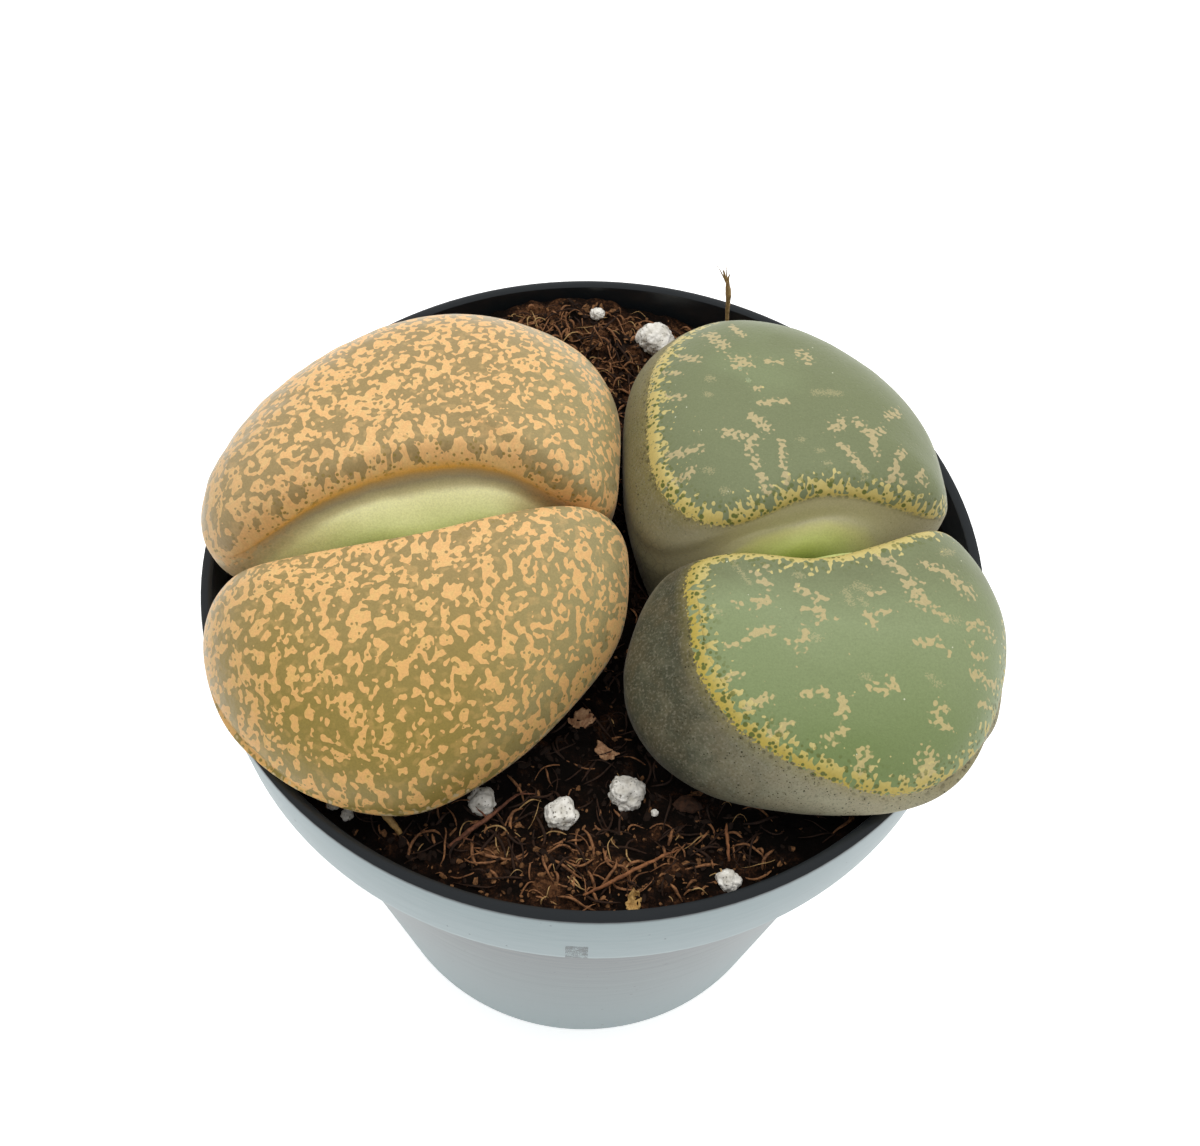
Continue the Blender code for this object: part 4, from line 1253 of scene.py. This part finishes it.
class LITHOPS_OT_perlite(bpy.types.Operator):
    """Models the perlite grains"""

    bl_idname = "lithops.perlite"
    bl_label = "Perlite"

    def execute(self, context):
        finish = perlite_finish()
        for n, (x, y, radius) in enumerate(PERLITE):
            bm = bmesh.new()
            bmesh.ops.create_icosphere(bm, subdivisions=5, radius=1)
            shift = Vector((n * 5.3, n * 2.1, n * 3.7))
            for vert in bm.verts:
                way = vert.co.copy()
                lumps = 0.24 * noise.noise(way * 1.3 + shift) + 0.11 * noise.noise(way * 3.2 + shift)
                pit = max(0.0, 0.3 - noise.voronoi(way * 3.4 + shift)[0][0])
                vert.co = way * radius * (0.93 + lumps + 0.05 * noise.noise(way * 8 + shift) - 0.3 * pit)
                vert.co.z *= PERLITE_SQUASH
            bmesh.ops.translate(bm, verts=bm.verts, vec=(x, y, soil_height(x, y) + 0.32 * radius))
            grain = store(f"perlite_{n + 1}", bm, finish)
            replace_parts(grain, f"perlite_grain_{n + 1}")
        rng = random.Random(context.scene.lithops_peat.seed)
        dust = crumb_mesh(rng, leaf_shells(), PERLITE_DUST, (0.1, 0.24), lambda x, y: 1.0)
        store("perlite_dust", dust, finish, CRUMB_SHARP)
        return {"FINISHED"}


class LITHOPS_OT_litter(bpy.types.Operator):
    """Models the husks, the bark chip, the twig and the loose strands"""

    bl_idname = "lithops.litter"
    bl_label = "Litter"

    def execute(self, context):
        husk = plant_matter("dry leaf husk, papery", "#7A4E34", "#C09A74", 0.7, 1.6)
        straw = plant_matter("dry straw", "#7A5A30", "#BE9A5E", 0.6, 1.4)
        bark = plant_matter("bark", "#1F130C", "#4A2F1E", 0.85, 1.6)
        twig = plant_matter("twig bark", "#3A2218", "#83543C", 0.8, 1.6)
        root = plant_matter("dry root fibre", "#5A3520", "#96643E", 0.7, 1.8)
        for n, (name, (x, y, radius)) in enumerate(HUSKS.items()):
            bm = bmesh.new()
            bmesh.ops.create_grid(bm, x_segments=18, y_segments=18, size=1.0)
            shift = Vector((n * 7.7, 4.0, n))
            for vert in bm.verts:
                flat = vert.co.copy()
                outline = max(abs(flat.x), abs(flat.y)) / max(flat.length, 1e-6)
                way = flat * outline * (1 + 0.5 * noise.noise(flat.normalized() * 1.6 + shift))
                folds = 0.75 * noise.noise(way * 1.5 + shift) + 0.3 * noise.noise(way * 3.8 + shift)
                folds += 0.45 * way.x**2
                vert.co = Vector((way.x * radius, way.y * radius * 0.62, folds * radius * 0.8))
            bmesh.ops.recalc_face_normals(bm, faces=bm.faces)
            bmesh.ops.solidify(bm, geom=bm.faces[:], thickness=0.09)
            bmesh.ops.rotate(bm, verts=bm.verts, matrix=Matrix.Rotation(0.7 + 1.9 * n, 3, "Z"))
            low = min(vert.co.z for vert in bm.verts)
            bmesh.ops.translate(bm, verts=bm.verts, vec=(x, y, peat_surface(x, y) - low - 0.15))
            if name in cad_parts:
                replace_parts(store(name + "_flake", bm, husk), name)
            else:
                store(name, bm, straw)
        x, y, radius = BARK_CHIP
        bm = bmesh.new()
        bmesh.ops.create_icosphere(bm, subdivisions=4, radius=1)
        for vert in bm.verts:
            grain = 0.16 * noise.noise(Vector((vert.co.x * 1.2, vert.co.y * 5, vert.co.z * 5)))
            vert.co *= 1 + 0.3 * noise.noise(vert.co * 1.4 + Vector((2, 0, 0))) + grain
            vert.co = Vector((vert.co.x * radius * 1.1, vert.co.y * radius * 0.75, vert.co.z * radius * 0.5))
        bmesh.ops.translate(bm, verts=bm.verts, vec=(x, y, soil_height(x, y) + 0.3))
        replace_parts(store("bark_flake", bm, bark), "bark_chip")
        for name, slot, finish in (
            ("long_fibre", "peat_fibre", root), ("dark_twig", "bark", twig),
            ("pale_curl", "dry_husk", straw), ("pale_splinter", "dry_husk", root),
        ):
            path = [(Vector((x, y, soil_height(x, y) + up)), radius) for x, y, up, radius in STRANDS[name]]
            spurs = []
            if name == "dark_twig":
                for at, way in TWIG_SPURS:
                    start, reach = path[at][0], Vector(way)
                    bend = start + reach * 0.5 + Vector((0, 0, 0.15))
                    spurs.append([(start, 0.09), (bend, 0.07), (start + reach, 0.03)])
            bm = strand_mesh([path, *spurs], 3)
            for vert in bm.verts:
                vert.co += 0.09 * noise.noise_vector(vert.co * 1.7) + 0.03 * noise.noise_vector(vert.co * 6)
            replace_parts(store(name + "_strand", bm, finish), name)
        return {"FINISHED"}


class LITHOPS_OT_stalk(bpy.types.Operator):
    """Models the dry flower stalk at the back, with the husk at its foot"""

    bl_idname = "lithops.stalk"
    bl_label = "Dry stalk"

    def execute(self, context):
        ground = soil_height(*STALK[0][:2])
        path = [(Vector((x, y, ground + up)), radius) for x, y, up, radius in STALK]
        top = path[-1][0]
        tufts = []
        for *way, radius in STALK_TUFTS:
            reach = Vector(way)
            taper = ((0.35, 1.3), (0.7, 1), (1, 0.6))
            tuft = [(top + reach * share, radius * thick) for share, thick in taper]
            tufts.append([(path[-2][0], 0.12), *tuft])
        stalk = strand_mesh([path, *tufts], 3)
        for vert in stalk.verts:
            vert.co += 0.05 * noise.noise_vector(vert.co * 1.9)
        straw = plant_matter("dry stalk, bleached", "#6E5330", "#C7A874", 0.65, 1.1)
        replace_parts(store("dry_flower_stalk", stalk, straw), "dry_stalk")
        rng = random.Random(3)
        husks = []
        for n in range(9):
            turn = math.tau * n / 9 + rng.uniform(-0.2, 0.2)
            out, up = Vector((math.cos(turn), math.sin(turn), 0)), Vector((0, 0, 1))
            foot, tall = path[0][0] - up * 0.5, rng.uniform(1.2, 2.6)
            spread = rng.uniform(0.7, 1.5)
            husks.append([
                (foot + out * 0.2, 0.14), (foot + out * spread * 0.6 + up * tall * 0.45, 0.2),
                (foot + out * spread + up * tall * 0.8, 0.15), (foot + out * spread * 0.8 + up * tall, 0.04),
            ])
        papery = plant_matter("stalk husk, papery", "#5E3E26", "#B58A58", 0.75, 1.6)
        store("stalk_husk", strand_mesh(husks, 1), papery)
        return {"FINISHED"}


class LITHOPS_OT_dew(bpy.types.Operator):
    """Sets three small drops of water on the right plant"""

    bl_idname = "lithops.dew"
    bl_label = "Dew"

    def execute(self, context):
        context.view_layer.update()
        skin = bpy.data.objects["right_back_lithops_leaf"]
        bm = bmesh.new()
        eye = Vector(FLECKS_FROM)
        for x, y, radius in DROPLETS:
            aim = (Vector((x, y, FLECKS["right_back_leaf"]["sheet"])) - eye).normalized()
            hit, at, normal, _ = skin.ray_cast(eye * MM, aim)
            if not hit:
                raise RuntimeError("a drop misses its leaf")
            turn = normal.to_track_quat("Z", "Y").to_matrix().to_4x4()
            middle = Matrix.Translation(at / MM + normal * radius * 0.25)
            matrix = middle @ turn @ Matrix.Diagonal((1, 1, 0.7, 1))
            bmesh.ops.create_icosphere(bm, subdivisions=4, radius=radius, matrix=matrix)
        drops = store("dew", bm, dew())
        drops.visible_shadow = False  # clear water passes the light on to the skin under it
        return {"FINISHED"}


class LITHOPS_OT_stage(bpy.types.Operator):
    """Sets up the pale floor, the soft light and the camera"""

    bl_idname = "lithops.stage"
    bl_label = "Stage"

    def execute(self, context):
        scene = context.scene
        bm = bmesh.new()
        bmesh.ops.create_grid(bm, x_segments=1, y_segments=1, size=4.0)
        mesh = bpy.data.meshes.new("floor")
        bm.to_mesh(mesh)
        bm.free()
        floor = bpy.data.objects.new("floor", mesh)
        scene.collection.objects.link(floor)
        made, add = new_material("matt white paint")
        white, grey = (1.0, 1.0, 1.0), (0.9, 0.9, 0.9)
        finish_material(
            add, {"Base Color": grey, "Roughness": 0.9, "Emission Color": white, "Emission Strength": 0.6}
        )
        mesh.materials.append(made)

        world = bpy.data.worlds.new("white tent")
        world.use_nodes = True
        world.node_tree.nodes["Background"].inputs["Color"].default_value = (1, 1, 1, 1)
        world.node_tree.nodes["Background"].inputs["Strength"].default_value = 0.5
        scene.world = world

        lamp = bpy.data.lights.new("overhead softbox", "AREA")
        lamp.shape = "DISK"
        lamp.size = 1.5
        lamp.energy = 12.5
        light = bpy.data.objects.new("overhead softbox", lamp)
        light.location = (0.03, 0.28, 1.0)
        light.rotation_euler = (Vector((0, 0, 0.05)) - light.location).to_track_quat("-Z", "Y").to_euler()
        light.visible_glossy = False  # the tent, not the lamp, is what shiny things mirror
        scene.collection.objects.link(light)

        data = bpy.data.cameras.new("camera")
        data.lens, data.sensor_width, data.sensor_fit = CAMERA_LENS, 36.0, "HORIZONTAL"
        data.clip_start = MM
        camera = bpy.data.objects.new("camera", data)
        eye, target = Vector(CAMERA_AT) * MM, Vector(CAMERA_AIM) * MM
        roll = Matrix.Rotation(math.radians(CAMERA_ROLL), 3, "Z")
        turn = (target - eye).to_track_quat("-Z", "Y").to_matrix() @ roll
        camera.location = eye
        camera.rotation_euler = turn.to_euler()
        scene.collection.objects.link(camera)
        scene.camera = camera
        scene.view_settings.view_transform = "Standard"
        return {"FINISHED"}


class LITHOPS_PT_panel(bpy.types.Panel):
    """Lists the pieces"""

    bl_idname = "LITHOPS_PT_panel"
    bl_label = "Potted lithops"
    bl_space_type = "VIEW_3D"
    bl_region_type = "UI"
    bl_category = "Lithops"

    def draw(self, context):
        for operator in OPERATORS:
            self.layout.operator(operator.bl_idname)


OPERATORS = (
    LITHOPS_OT_pot,
    LITHOPS_OT_left_leaves,
    LITHOPS_OT_right_leaves,
    LITHOPS_OT_peat,
    LITHOPS_OT_crumbs,
    LITHOPS_OT_perlite,
    LITHOPS_OT_litter,
    LITHOPS_OT_stalk,
    LITHOPS_OT_dew,
    LITHOPS_OT_stage,
)
GROUPS = {
    "lithops_pot": PotSettings,
    "lithops_left": LeftSettings,
    "lithops_right": RightSettings,
    "lithops_peat": PeatSettings,
}


def register():
    for cls in (*GROUPS.values(), *OPERATORS, LITHOPS_PT_panel):
        bpy.utils.register_class(cls)
    for name, group in GROUPS.items():
        setattr(bpy.types.Scene, name, PointerProperty(type=group))


def unregister():
    for name in GROUPS:
        delattr(bpy.types.Scene, name)
    for cls in (LITHOPS_PT_panel, *reversed(OPERATORS), *reversed(GROUPS.values())):
        bpy.utils.unregister_class(cls)


def main():
    register()
    for operator in OPERATORS:
        group, name = operator.bl_idname.split(".")
        if getattr(getattr(bpy.ops, group), name)() != {"FINISHED"}:
            raise RuntimeError(f"{operator.bl_label} did not finish")


if __name__ == "__main__":
    main()
